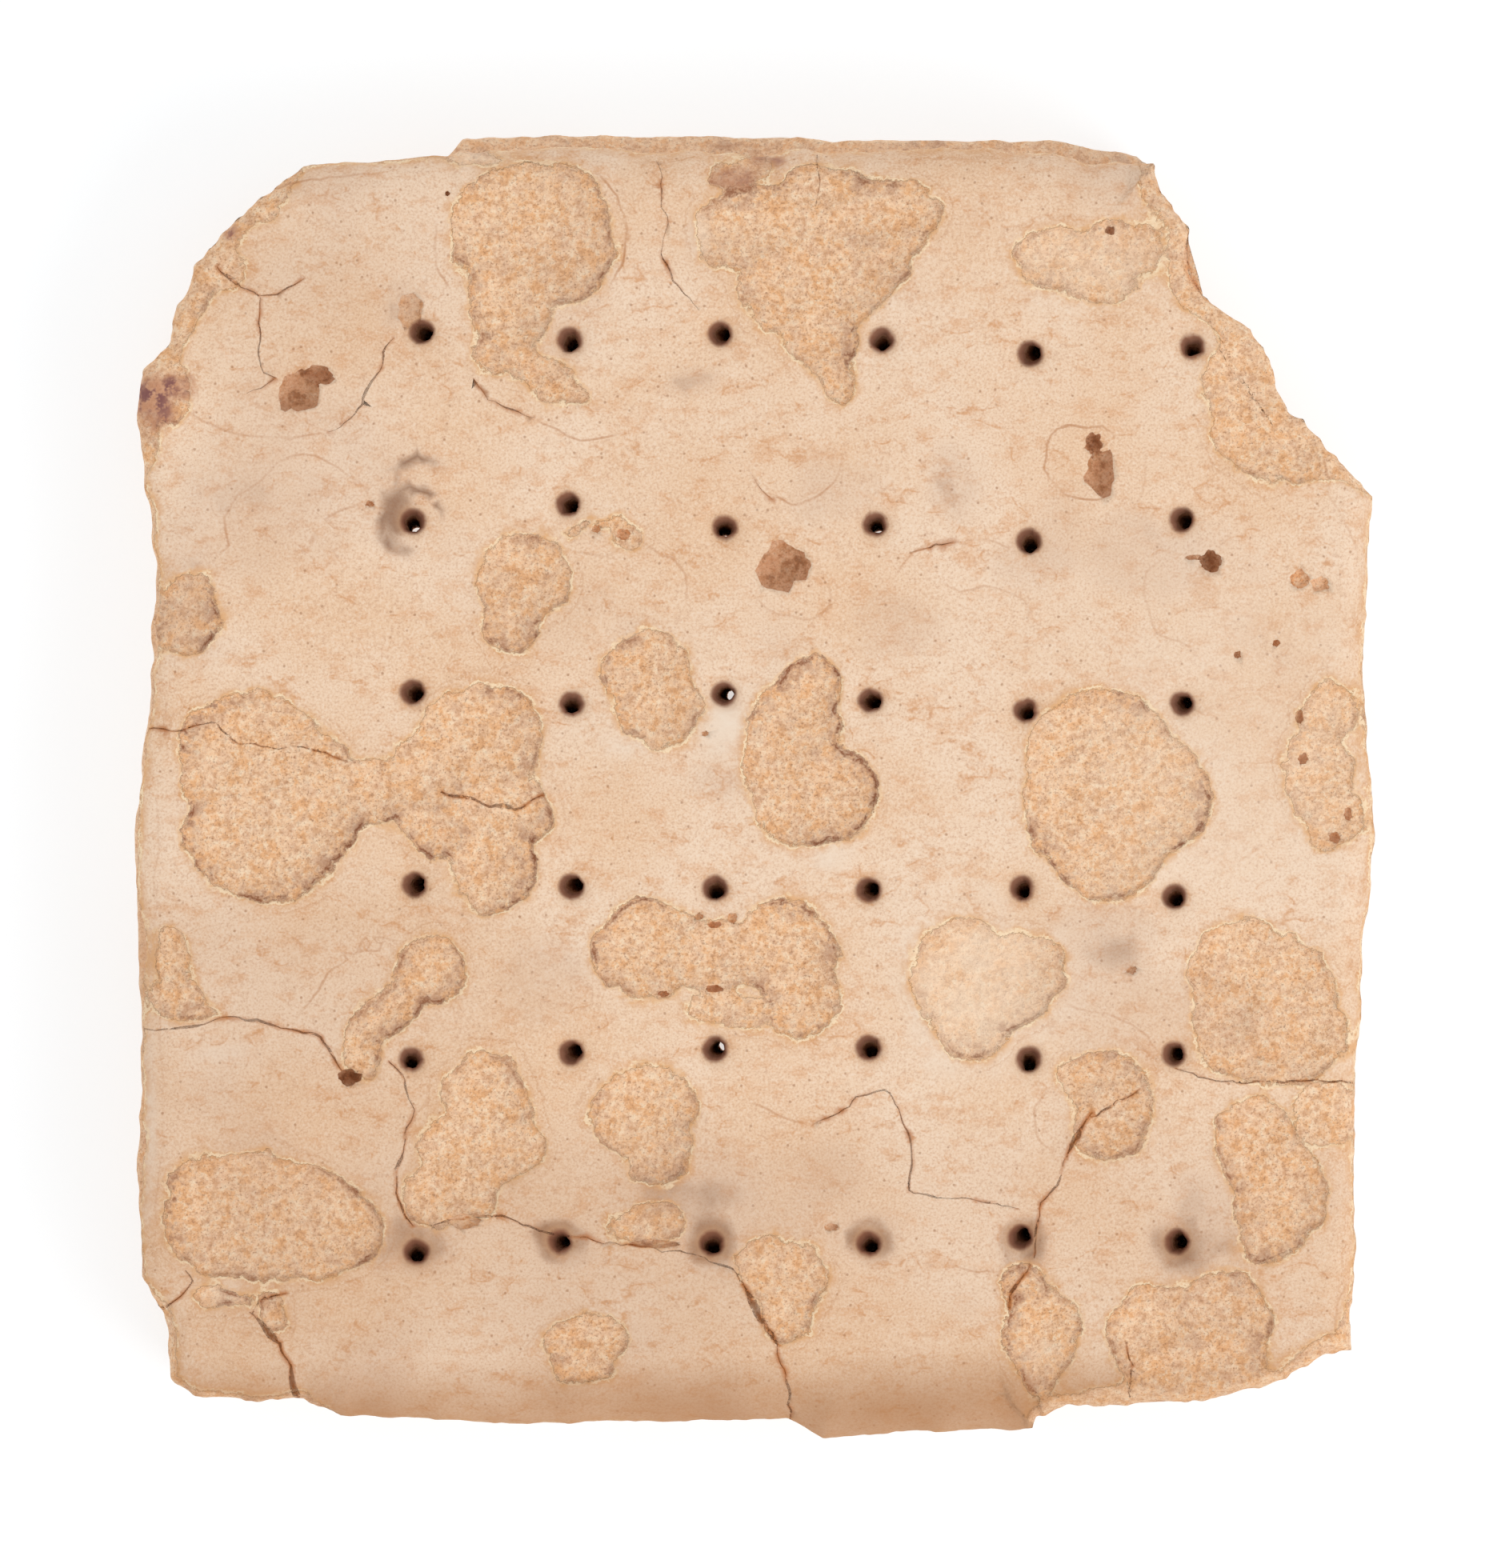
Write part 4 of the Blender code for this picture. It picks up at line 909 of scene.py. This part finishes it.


# Wide stains, brown scorches, and pale scuffs on the skin with some painted light: centre x, y, half
# widths and strength
GREY_STAINS = [
    (-21.1, 15.9, 1.0, 1.7, 1.0), (-20.6, 28.4, 1.1, 1.3, 0.45), (-3.8, 24.0, 1.6, 0.9, 0.6),
    (-29.5, 17.0, 4.5, 2.0, 0.16), (24.0, 13.5, 5.0, 2.5, 0.35), (12.0, 18.0, 1.8, 2.4, 0.40),
    (-4.0, -24.5, 4.0, 1.5, 0.32), (-12.5, -11.5, 3.0, 2.5, 0.35), (21.0, -9.0, 3.2, 2.4, 0.32),
    (5.0, 17.5, 3.0, 2.0, 0.30), (-33.5, 12.5, 1.8, 5.0, 0.35), (27.0, -25.5, 2.5, 2.0, 0.45),
    (8.5, 9.5, 3.0, 2.0, 0.30), (-2.5, 0.2, 1.6, 1.0, 0.30), (-20.2, -27.3, 2.3, 1.6, 0.80),
    (-11.6, -27.2, 1.4, 1.5, 0.95), (-2.3, -27.3, 1.8, 1.6, 0.85), (7.0, -27.2, 1.8, 1.5, 0.80),
    (16.1, -27.2, 1.7, 1.9, 0.85), (25.3, -27.4, 1.7, 1.8, 0.75),
]
SCORCHES = [
    (-35.7, 22.6, 1.7, 2.0, 1.0), (-34.6, 23.5, 1.7, 1.0, 0.8), (-1.0, 36.2, 1.6, 0.7, 0.8),
    (0.9, 37.1, 1.3, 0.5, 0.6), (-30.9, 32.9, 0.6, 0.5, 0.9), (34.0, -34.3, 1.5, 1.2, 0.3),
]
PALE_SCUFFS_AND_LIGHT = [
    (-1.8, 3.4, 1.3, 2.0, 0.8), (4.8, -4.5, 1.4, 0.9, 0.5), (-7.5, 2.2, 1.9, 0.6, 0.6),
    (-3.2, 32.8, 0.6, 1.3, 0.9), (17.3, -34.0, 1.5, 0.8, 0.4), (-31.5, -30.6, 1.8, 0.8, 0.5),
    (-16.6, 37.4, 1.6, 0.5, 0.6), (-36.1, -20.0, 0.6, 6.0, 0.5), (-31.5, -16.0, 2.0, 0.5, 0.4),
    # These three are painted light, paler where the light falls: the heart patch, the upper right patch and a
    # wide pool on the centre right
    (13.6, -12.4, 4.6, 4.6, 0.7), (20.0, 31.0, 4.5, 2.4, 0.4), (28.0, 2.0, 9.0, 10.0, 0.25),
]

# Stains in arcs: centre x, y, radius, half width, first and last angle in degrees, strength
ARC_STAINS = [
    (-20.4, 15.7, 1.9, 0.30, 15, 125, 0.9), (-20.0, 17.5, 1.9, 0.34, 40, 145, 1.1),
    (-20.6, 15.4, 1.5, 0.50, 120, 290, 0.8), (-20.3, 28.2, 1.3, 0.35, 100, 230, 0.5),
]


def arcs(x, y):
    """Arcs with soft edges: exp(-((r - radius) / width)^2) between two angles."""
    total = np.zeros(x.shape)
    for centre_x, centre_y, radius, width, first, last, strength in ARC_STAINS:
        angle = np.degrees(np.arctan2(y - centre_y, x - centre_x)) % 360
        within = smooth_step(first - 12, first + 12, angle) * smooth_step(last + 12, last - 12, angle)
        out = np.hypot(x - centre_x, y - centre_y) - radius
        total = np.maximum(total, strength * within * np.exp(-(out / width) ** 2))
    return total * (1.05 + 0.6 * fractal(x, y, 0.8, 119, 2))


def blotches(x, y, spots, seed):
    """Ellipses with soft edges, exp(-q^4), their outlines and strengths broken by noise."""
    stretch = 1 + 0.45 * fractal(x, y, 1.8, seed + 40, 2)
    total = np.zeros(x.shape)
    for centre_x, centre_y, half_x, half_y, strength in spots:
        q = np.hypot((x - centre_x) / half_x, (y - centre_y) / half_y)
        total = np.maximum(total, strength * np.exp(-(q * stretch) ** 4))
    return np.clip(total * (1 + 0.6 * fractal(x, y, 1.1, seed)), 0, 1)


def paint(piece, skin_edge):
    """Store on each point what the finish needs to know of it, in three attributes of four values.

    "bake_and_shade" holds how bare of skin it is, how deep in a hollow, which darkens it as browner crumb
    and as painted shade, how toasted, with painted shade towards the lower left, and how scorched.
    "marks_light_and_shade" holds the dark of a docker hole, a brown halo and a core of browned crumb and
    painted shade, dirt along a patch's rim mixed with painted shade, strongest on the rims at a patch's
    lower right, grey stains, and pale scuffs with painted light. "lines" holds the distance to a patch's
    rim, 0.5 at the rim and 0.25 for each mm out, closeness to a crack, the signed distance to a faint
    line, 0.5 on it, and that line's strength.
    """
    mesh = piece.data
    points = np.empty(len(mesh.vertices) * 3)
    mesh.vertices.foreach_get("co", points)
    x, y, z = points.reshape(-1, 3).T / MM
    outline = edge_ring((60, 64))
    station, from_outline = nearest_station(x, y, outline)
    bare_side = outline[station, 6]
    below = crown_height(x, y) - edge_fall(x, y, skin_edge) - z
    side = smooth_step(2.2, 1.4, from_outline) * smooth_step(0.5, 1.0, below) * smooth_step(0.02, 0.2, z)
    under = smooth_step(1.2, 0.7, z) * (1 - side)
    top = smooth_step(0.2, 0.6, z - CREVICE - 1.0)
    hollow = smooth_step(1.3, 1.05, bubble_share(x, y)) * smooth_step(0.08, 0.3, below)
    inner = np.maximum(smooth_step(0.85, 1.15, below), hollow) * (1 - side) * (1 - under)

    patch, _, dirt_and_shade = patch_field(x, y, PATCHES)
    edge = broken_edge(x, y, skin_edge)
    over_field = joined(patch, edge, EDGE_BLEND)
    under_field = patch_field(x, y, UNDERSIDE_PATCHES)[0]
    field = np.where(z > CREVICE, over_field, under_field)
    field = np.where(side > 0.5, FAR, field)
    crevice = smooth_step(1.6, 0.3, abs(z - CREVICE)) * side
    layers = smooth_step(-0.1, 0.5, solid_fractal(x, y, z * 2.5, 2.6, 101)) * side
    layers = layers * smooth_step(1.0, 2.2, below)
    ledge = smooth_step(2.6, 4.0, z) * smooth_step(7.0, 5.5, z) * side * smooth_step(33.0, 36.0, y)
    bare = np.maximum.reduce([inner, bare_side * side, 0.85 * crevice, 0.7 * layers, ledge])
    # How deep in a hollow: the crumb is browner there, and painted shade makes it darker with depth
    deep = smooth_step(0.25, 1.5, below) * np.maximum(hollow, smooth_step(0.9, 1.3, below))
    deep = deep * (1 - side) * (1 - under) * (1 + 0.5 * fractal(x, y, 0.7, 125, 2))

    # Docker holes: a brown halo round each mouth, then a dark core at and inside the mouth, partly browned
    # crumb and partly painted shade, darkest 0.5 to 1.4 mm down the funnel's wall
    holes = hole_distance(x, y) * (1 + 0.10 * fractal(x, y, 1.1, 103, 2))
    pin = np.maximum.reduce([
        smooth_step(1.35, 0.55, holes) * (1 - under) * (1 - side),
        smooth_step(1.3, 0.9, holes) * smooth_step(0.5, 1.4, below) * (1 - side),
        0.6 * under * smooth_step(1.2, 0.5, holes),
    ]) * (1 - 0.6 * smooth_step(0.8, 2.0, below))
    # Dark along a patch's rim: dirt, and painted shade from the wall, stronger on the rims at a patch's lower
    # right, whose walls face away from the panel
    lean = (patch_field(x + 0.035, y - 0.035, PATCHES)[0] - patch) / 0.05
    grime_and_shade = smooth_step(-0.25, 0.45, fractal(x, y, 3.0, 105, 2))
    rim = dirt_and_shade * (0.15 + 0.15 * np.clip(lean, -1, 1) + 1.1 * grime_and_shade)
    rim = np.where(edge < patch, 0.05 + 0.7 * fractal(x, y, 2.2, 106, 2), rim)

    # Browning from the oven: at the back edge, the front edge, the back left corner, and thinly round the
    # outline. The front third and the left front are browned too, with painted shade that makes them darker
    # towards the lower left.
    toast_and_shade = np.maximum.reduce([
        0.24 * smooth_step(35.0, 38.8, y),
        1.10 * smooth_step(-32.0, -37.8, y) * smooth_step(2.0, 7.0, z),
        0.36 * smooth_step(-17.0, -25.0, y) * (0.5 + 0.5 * smooth_step(12.0, -10.0, x)),
        0.26 * smooth_step(-3.0, -10.0, y) * smooth_step(-8.0, -24.0, x),
        0.22 * np.exp(-((x + 26.0) / 8.0) ** 2 - ((y - 30.0) / 5.5) ** 2),
        0.18 * smooth_step(1.5, 0.0, from_outline) * smooth_step(-36.0, -33.0, x),
    ])
    toast_and_shade = toast_and_shade * (0.85 + 0.3 * fractal(x, y, 5.0, 107))
    toast_and_shade = toast_and_shade * (1 - 0.6 * smooth_step(0.1, -0.4, over_field) * (1 - side))
    toast_and_shade = np.maximum(toast_and_shade * (1 - 0.4 * side), 0.3 * under) * (1 - ledge)
    scorch = blotches(x, y, SCORCHES, 109) * top * np.clip(0.85 + 0.9 * fractal(x, y, 1.3, 110, 2), 0, 1)
    scorch = scorch * (1 - side * smooth_step(28.0, 34.0, y))
    grey = blotches(x, y, GREY_STAINS, 113) + 0.3 * smooth_step(0.1, 0.6, fractal(x, y, 8.0, 115))
    grey = np.maximum(grey, arcs(x, y))
    # Pale scuffs, and painted light: paler where the light falls on the centre right, the heart and the upper
    # right patch, and on the ledge, which the upper layer shades
    scuff_and_light = np.maximum(blotches(x, y, PALE_SCUFFS_AND_LIGHT, 117) * top, 0.2 * ledge)

    crack, _, width, _ = nearest_line(x, y, CRACKS, CRACK_SEED)
    cracked = np.exp(-(crack / (0.06 + 0.8 * width)) ** 2) * smooth_step(1.8, 0.9, below) * (1 - under)
    cracked = cracked * np.clip(0.60 + 2.6 * width + 0.9 * fractal(x, y, 1.4, 123, 2), 0.35, 1)
    away, turned, strength, share = nearest_line(x, y, FAINT_LINES, LINE_SEED)
    strength = strength * smooth_step(LINE_REACH, 0.7 * LINE_REACH, away) * top
    strength = strength * smooth_step(0.0, 0.15, share) * smooth_step(1.0, 0.85, share)
    strength = strength * np.clip(0.75 + 0.9 * fractal(x, y, 2.1, 121, 2), 0, 1.2)
    beside = 0.5 + 0.5 * turned * np.minimum(away, LINE_REACH) / LINE_REACH

    # The first two attributes carry painted shade (depth, the lower left, hole cores, rims) and painted light
    # (paler scuffs) as well as real colour
    store(mesh, "bake_and_shade", bare, deep, toast_and_shade, scorch)
    store(mesh, "marks_light_and_shade", pin, rim, grey, scuff_and_light)
    store(mesh, "lines", 0.5 + field / 4, cracked, beside, strength)


def store(mesh, name, *channels):
    """A colour attribute on the mesh's points from four arrays from 0 to 1."""
    layer = mesh.attributes.new(name, "FLOAT_COLOR", "POINT")
    layer.data.foreach_set("color", np.clip(np.stack(channels, axis=1), 0, 1).astype(np.float32).ravel())


def colour(text):
    """A linear colour from an sRGB hex value."""
    parts = [int(text[k:k + 2], 16) / 255 for k in (1, 3, 5)]
    linear = [part / 12.92 if part <= 0.04045 else ((part + 0.055) / 1.055) ** 2.4 for part in parts]
    return (*linear, 1.0)


def per_mm(size):
    """The scale of a texture in metres whose features are this many millimetres."""
    return 1 / (size * MM)


def add(tree, kind, inputs=None, **settings):
    """Add a node with its settings. inputs gives sockets their values, or the node or socket to link."""
    made = tree.nodes.new(kind)
    for name, value in settings.items():
        setattr(made, name, value)
    for socket, value in (inputs or {}).items():
        if isinstance(value, bpy.types.Node):
            value = next(out for out in value.outputs if out.enabled)
        if isinstance(value, bpy.types.NodeSocket):
            tree.links.new(value, made.inputs[socket])
        else:
            made.inputs[socket].default_value = value
    return made


# Sockets of a Mix node that mixes colours
FACTOR, FIRST, SECOND = 0, 6, 7


def washed(tree, base, washes):
    """A colour with washes laid over it one by one. Each row has what the wash follows, where that starts
    and ends, the most it covers, and its tint."""
    for value, low, high, most, tint in washes:
        share = add(tree, "ShaderNodeMapRange",
                    {"Value": value, "From Min": low, "From Max": high, "To Max": most})
        base = add(tree, "ShaderNodeMix", {FACTOR: share, FIRST: base, SECOND: colour(tint)},
                   data_type="RGBA")
    return base


def make_baked_dough():
    """Wheat flour and water baked bone dry: a matte skin as thin as paper, pale and faintly mottled with
    bran, over a tan crumb as grainy as coarse sandpaper. Nothing on it shines."""
    dough = bpy.data.materials.new("baked_dough")
    dough.use_nodes = True
    tree = dough.node_tree
    shader = tree.nodes["Principled BSDF"]
    place = add(tree, "ShaderNodeTexCoord").outputs["Object"]
    layers = []
    for name in ("bake_and_shade", "marks_light_and_shade", "lines"):
        layer = add(tree, "ShaderNodeAttribute", attribute_name=name)
        parts = add(tree, "ShaderNodeSeparateColor", {"Color": layer.outputs["Color"]})
        layers.append((*parts.outputs, layer.outputs["Alpha"]))
    (bare_side, deep, toast_and_shade, scorch), (pin, rim_dirt_and_shade, grey, scuff_and_light), lines = layers
    rim_place, cracked, line_place, line = lines

    # The noises: clouds 9 mm across, veins 3 mm apart, streaks of 1 mm along the rolling direction, mottles
    # of 1 mm, the crumb's grains of 0.4 mm, and the skin's own grain, drawn at 0.15 mm because the real
    # 0.1 mm would not show
    rolled = add(tree, "ShaderNodeMapping", {"Vector": place, "Scale": (0.65, 1.0, 1.0)})
    clouds, veins, streaks, mottle, grains, fine = (
        add(tree, "ShaderNodeTexNoise",
            {"Vector": where, "Scale": per_mm(size), "Detail": detail, "Roughness": rough})
        for where, size, detail, rough in (
            (place, 9.0, 2.0, 0.5), (rolled, 3.4, 3.0, 0.5), (rolled, 1.0, 3.0, 0.7), (place, 1.0, 3.0, 0.72),
            (place, 0.42, 2.0, 0.75), (place, 0.15, 2.0, 0.7)))
    bran = add(tree, "ShaderNodeTexVoronoi", {"Vector": place, "Scale": per_mm(0.85)})

    # How far out from a patch's rim in millimetres, then the same made ragged by the finest grain
    from_rim = add(tree, "ShaderNodeMath", {0: rim_place, 1: 4.0, 2: -2.0}, operation="MULTIPLY_ADD")
    ragged = add(tree, "ShaderNodeMath", {0: fine, 1: 0.30, 2: from_rim}, operation="MULTIPLY_ADD")
    ragged = add(tree, "ShaderNodeMath", {0: grains, 1: 0.60, 2: ragged}, operation="MULTIPLY_ADD")
    ragged = add(tree, "ShaderNodeMath", {0: ragged, 1: 0.33}, operation="SUBTRACT")

    # Distances to five thin lines: a vein's middle, the dark line at a wall's foot, painted shade with some
    # dirt, the pale lip of broken skin with a painted highlight on its edge, the brown line where the skin
    # has lifted, and a faint line of its own
    thin = []
    for what, middle in ((veins, 0.5), (ragged, -0.10), (ragged, 0.22), (ragged, 0.85), (line_place, 0.5)):
        off = add(tree, "ShaderNodeMath", {0: what, 1: middle}, operation="SUBTRACT")
        thin.append(add(tree, "ShaderNodeMath", {0: off}, operation="ABSOLUTE"))
    vein, crevice, lip, lifted, faint = thin

    # How much of each of these shows, from place to place: value, low, high and most
    shown = []
    for value, low, high, most in (
            (streaks, 0.45, 0.60, 0.55), (streaks, 0.44, 0.58, 0.85), (clouds, 0.53, 0.58, 0.30),
            (mottle, 0.42, 0.58, 0.85), (mottle, 0.58, 0.42, 0.80), (mottle, 0.44, 0.54, 0.85),
            (mottle, 0.46, 0.60, 0.70)):
        shown.append(add(tree, "ShaderNodeMapRange", {"Value": value, "From Min": low, "From Max": high,
                                                      "To Max": most}).outputs["Result"])
    vein_shown, lip_shown, lift_shown, crust_shown, dirt_and_shade_shown, burnt_shown, pitted_and_shaded_shown = shown
    # The rim's dark is dirt and painted shade; a hollow's dark mottles are pitted crumb and painted shade
    dirt_and_shade_most, faint_most, burnt_most, pitted_and_shaded_most = (
        add(tree, "ShaderNodeMath", {0: value, 1: other}, operation="MULTIPLY").outputs[0]
        for value, other in ((rim_dirt_and_shade, dirt_and_shade_shown), (line, 0.85), (scorch, burnt_shown), (deep, pitted_and_shaded_shown)))

    # Skin: two pale tints in clouds, warm streaks and veins, fine grain, specks of bran, grey stains, pale
    # scuffs with painted light, and a browner crust beside a patch
    skin = washed(tree, colour("#f6d8bb"), [
        (clouds, 0.38, 0.62, 1.0, "#f1cca9"),
        (streaks, 0.50, 0.68, 0.60, "#e5ae80"),
        (vein, 0.012, 0.004, vein_shown, "#d99c68"),
        (fine, 0.50, 0.74, 0.55, "#c4957a"),
        (fine, 0.50, 0.28, 0.40, "#fff0e0"),
        (bran, 0.13, 0.06, 0.55, "#a06a44"),
        (grey, 0.0, 0.5, 0.34, "#ceae98"),
        (grey, 0.40, 1.0, 0.75, "#865c42"),
        (scuff_and_light, 0.0, 1.0, 1.0, "#f6e2cd"),
        (from_rim, 0.65, 0.0, crust_shown, "#dfa672"),
    ])
    # Crumb: orange and pinkish grey mottles, grains that stand pale out of darker gaps, dark specks, pale
    # scuffs with painted light, grey-brown dirt with painted shade towards a patch's rim, and grey stains
    crumb = washed(tree, colour("#fad2ac"), [
        (mottle, 0.48, 0.62, 0.72, "#efb27a"),
        (mottle, 0.48, 0.36, 0.60, "#e4b998"),
        (grains, 0.50, 0.34, 0.55, "#cb9264"),
        (grains, 0.53, 0.69, 0.75, "#ffe6c6"),
        (fine, 0.53, 0.72, 0.65, "#99694d"),
        (scuff_and_light, 0.0, 1.0, 0.7, "#ffe6cb"),
        (from_rim, -1.3, -0.1, dirt_and_shade_most, "#ab7a60"),
        (grey, 0.0, 1.0, 0.5, "#b08f7b"),
    ])
    flaked = add(tree, "ShaderNodeMapRange", {"Value": ragged, "From Min": 0.16, "From Max": 0.08})
    bare = add(tree, "ShaderNodeMath", {0: flaked, 1: bare_side}, operation="MAXIMUM")
    both = add(tree, "ShaderNodeMix", {FACTOR: bare, FIRST: skin, SECOND: crumb}, data_type="RGBA")
    # Over both: the rims and lines, browning from the oven with painted shade towards the lower left,
    # scorches, then hollows darkened as browner crumb and painted shade, cracks, and holes
    finished = washed(tree, both, [
        (lip, 0.16, 0.05, 0.45, "#eab680"),
        # the pale lip: thin broken skin, with a painted highlight where its edge catches light
        (lip, 0.12, 0.04, lip_shown, "#ffe6c2"),
        # a dark line at a wall's foot: painted shade, with some dirt
        (crevice, 0.12, 0.02, dirt_and_shade_most, "#8c4e28"),
        (lifted, 0.09, 0.03, lift_shown, "#c98f62"),
        (faint, 0.05, 0.015, faint_most, "#bd7f52"),
        # browning, with painted shade towards the lower left
        (toast_and_shade, 0.0, 1.0, 0.80, "#b07c52"),
        (scorch, 0.15, 0.7, 0.75, "#c98d6c"),
        (scorch, 0.15, 0.7, burnt_most, "#7d4f54"),
        # hollows: browner crumb, and painted shade darker with depth
        (deep, 0.0, 1.0, 0.65, "#c2845a"),
        (deep, 0.1, 0.7, pitted_and_shaded_most, "#7c4c30"),
        (cracked, 0.35, 1.0, 0.95, "#b4682f"),
        (pin, 0.0, 0.60, 0.32, "#cf9f76"),
        # a hole's dark core: browned crumb and painted shade
        (pin, 0.62, 0.97, 0.90, "#87553f"),
    ])
    tree.links.new(finished.outputs[2], shader.inputs["Base Color"])

    # Relief too fine for the mesh: 0.01 mm on the skin, 0.10 mm between the crumb's grains
    relief = add(tree, "ShaderNodeMapRange", {"Value": bare, "To Min": 0.10, "To Max": 1.0})
    height = add(tree, "ShaderNodeMath", {0: fine, 1: 0.5, 2: grains}, operation="MULTIPLY_ADD")
    height = add(tree, "ShaderNodeMath", {0: height, 1: relief}, operation="MULTIPLY")
    bump = add(tree, "ShaderNodeBump", {"Height": height, "Distance": 0.14 * MM, "Strength": 0.8})
    tree.links.new(bump.outputs["Normal"], shader.inputs["Normal"])
    shader.inputs["Roughness"].default_value = 0.9
    shader.inputs["Specular IOR Level"].default_value = 0.2
    return dough


# The floor lies a hair below the biscuit, so that the two don't flicker
FLOOR_HALF = 1500.0
FLOOR_HEIGHT = -0.03
FLOOR_GLOW = 0.62


def make_floor():
    """Seamless white card, lit evenly, so that it reads as the picture's plain ground."""
    card = bpy.data.materials.new("white_card")
    card.use_nodes = True
    tree = card.node_tree
    shader = tree.nodes["Principled BSDF"]
    tint = add(tree, "ShaderNodeTexNoise", {"Vector": add(tree, "ShaderNodeTexCoord").outputs["Object"],
                                            "Scale": per_mm(40)})
    shade = add(tree, "ShaderNodeMix", {FACTOR: tint, FIRST: colour("#b0b4b7"), SECOND: colour("#b6babd")},
                data_type="RGBA")
    tree.links.new(shade.outputs[2], shader.inputs["Base Color"])
    shader.inputs["Roughness"].default_value = 0.9
    shader.inputs["Specular IOR Level"].default_value = 0.1
    shader.inputs["Emission Color"].default_value = (1.0, 1.0, 1.0, 1.0)
    shader.inputs["Emission Strength"].default_value = FLOOR_GLOW
    corners = [(x * FLOOR_HALF, y * FLOOR_HALF, FLOOR_HEIGHT)
               for x, y in ((-1, -1), (1, -1), (1, 1), (-1, 1))]
    floor = mesh_object("floor", corners, [(0, 1, 2, 3)])
    floor.data.materials.append(card)
    floor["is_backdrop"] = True


# Light: a white surround, and a wide soft panel to the picture's lower right
SURROUND = 0.785
PANEL_WATTS = 1.65
PANEL_PLACE = (0.46, -0.36, 0.55)
PANEL_SIZE = 0.4


def light_scene():
    """Even daylight from all round, and one soft panel that gives the relief its shade."""
    world = bpy.data.worlds.new("surround")
    world.use_nodes = True
    backdrop = world.node_tree.nodes["Background"]
    backdrop.inputs["Color"].default_value = (1.0, 1.0, 1.0, 1.0)
    backdrop.inputs["Strength"].default_value = SURROUND
    bpy.context.scene.world = world
    panel = bpy.data.lights.new("panel", "AREA")
    panel.energy = PANEL_WATTS
    panel.size = PANEL_SIZE
    lamp = bpy.data.objects.new("panel", panel)
    lamp.location = PANEL_PLACE
    lamp.rotation_euler = (-Vector(PANEL_PLACE)).to_track_quat("-Z", "Y").to_euler()
    bpy.context.scene.collection.objects.link(lamp)


# The camera looks straight down from far off. The picture's 1960 rows cover this height
PICTURE_HEIGHT = 94.1
LENS = 300.0
SENSOR = 36.0


def make_camera():
    """Straight above the middle, at the distance where the picture's height fits the lens."""
    lens = bpy.data.cameras.new("camera")
    lens.lens = LENS
    lens.sensor_width = SENSOR
    lens.clip_start = 0.05
    lens.clip_end = 20.0
    camera = bpy.data.objects.new("camera", lens)
    camera.location = (0.0, 0.0, (PICTURE_HEIGHT * LENS / SENSOR + THICKNESS / 2) * MM)
    bpy.context.scene.collection.objects.link(camera)
    bpy.context.scene.camera = camera


def build():
    """Make both layers, cut their holes, paint and finish them, and set the stage."""
    upper, skin_edge = make_upper_layer()
    lower = make_lower_layer()
    thin = upper.modifiers.new("thin", "DECIMATE")
    thin.ratio = UPPER_TRIANGLES / sum(len(face.vertices) - 2 for face in upper.data.polygons)
    settle(upper)
    shapes = docker_hole_shapes(skin_edge) + bubble_shapes(skin_edge) + crack_shapes(skin_edge)
    cutters = [join_cutters("hollows", group) for group in sort_apart(shapes)]
    dough = make_baked_dough()
    for piece in (upper, lower):
        for cutter in cutters:
            cut(piece, cutter)
        settle(piece)
        paint(piece, skin_edge)
        piece.data.materials.append(dough)
        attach(piece, "root")
        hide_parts("hardtack")
    for cutter in cutters:
        bpy.data.objects.remove(cutter)
    make_floor()
    light_scene()
    make_camera()


build()
bpy.context.scene.view_settings.view_transform = "Standard"
bpy.context.view_layer.update()
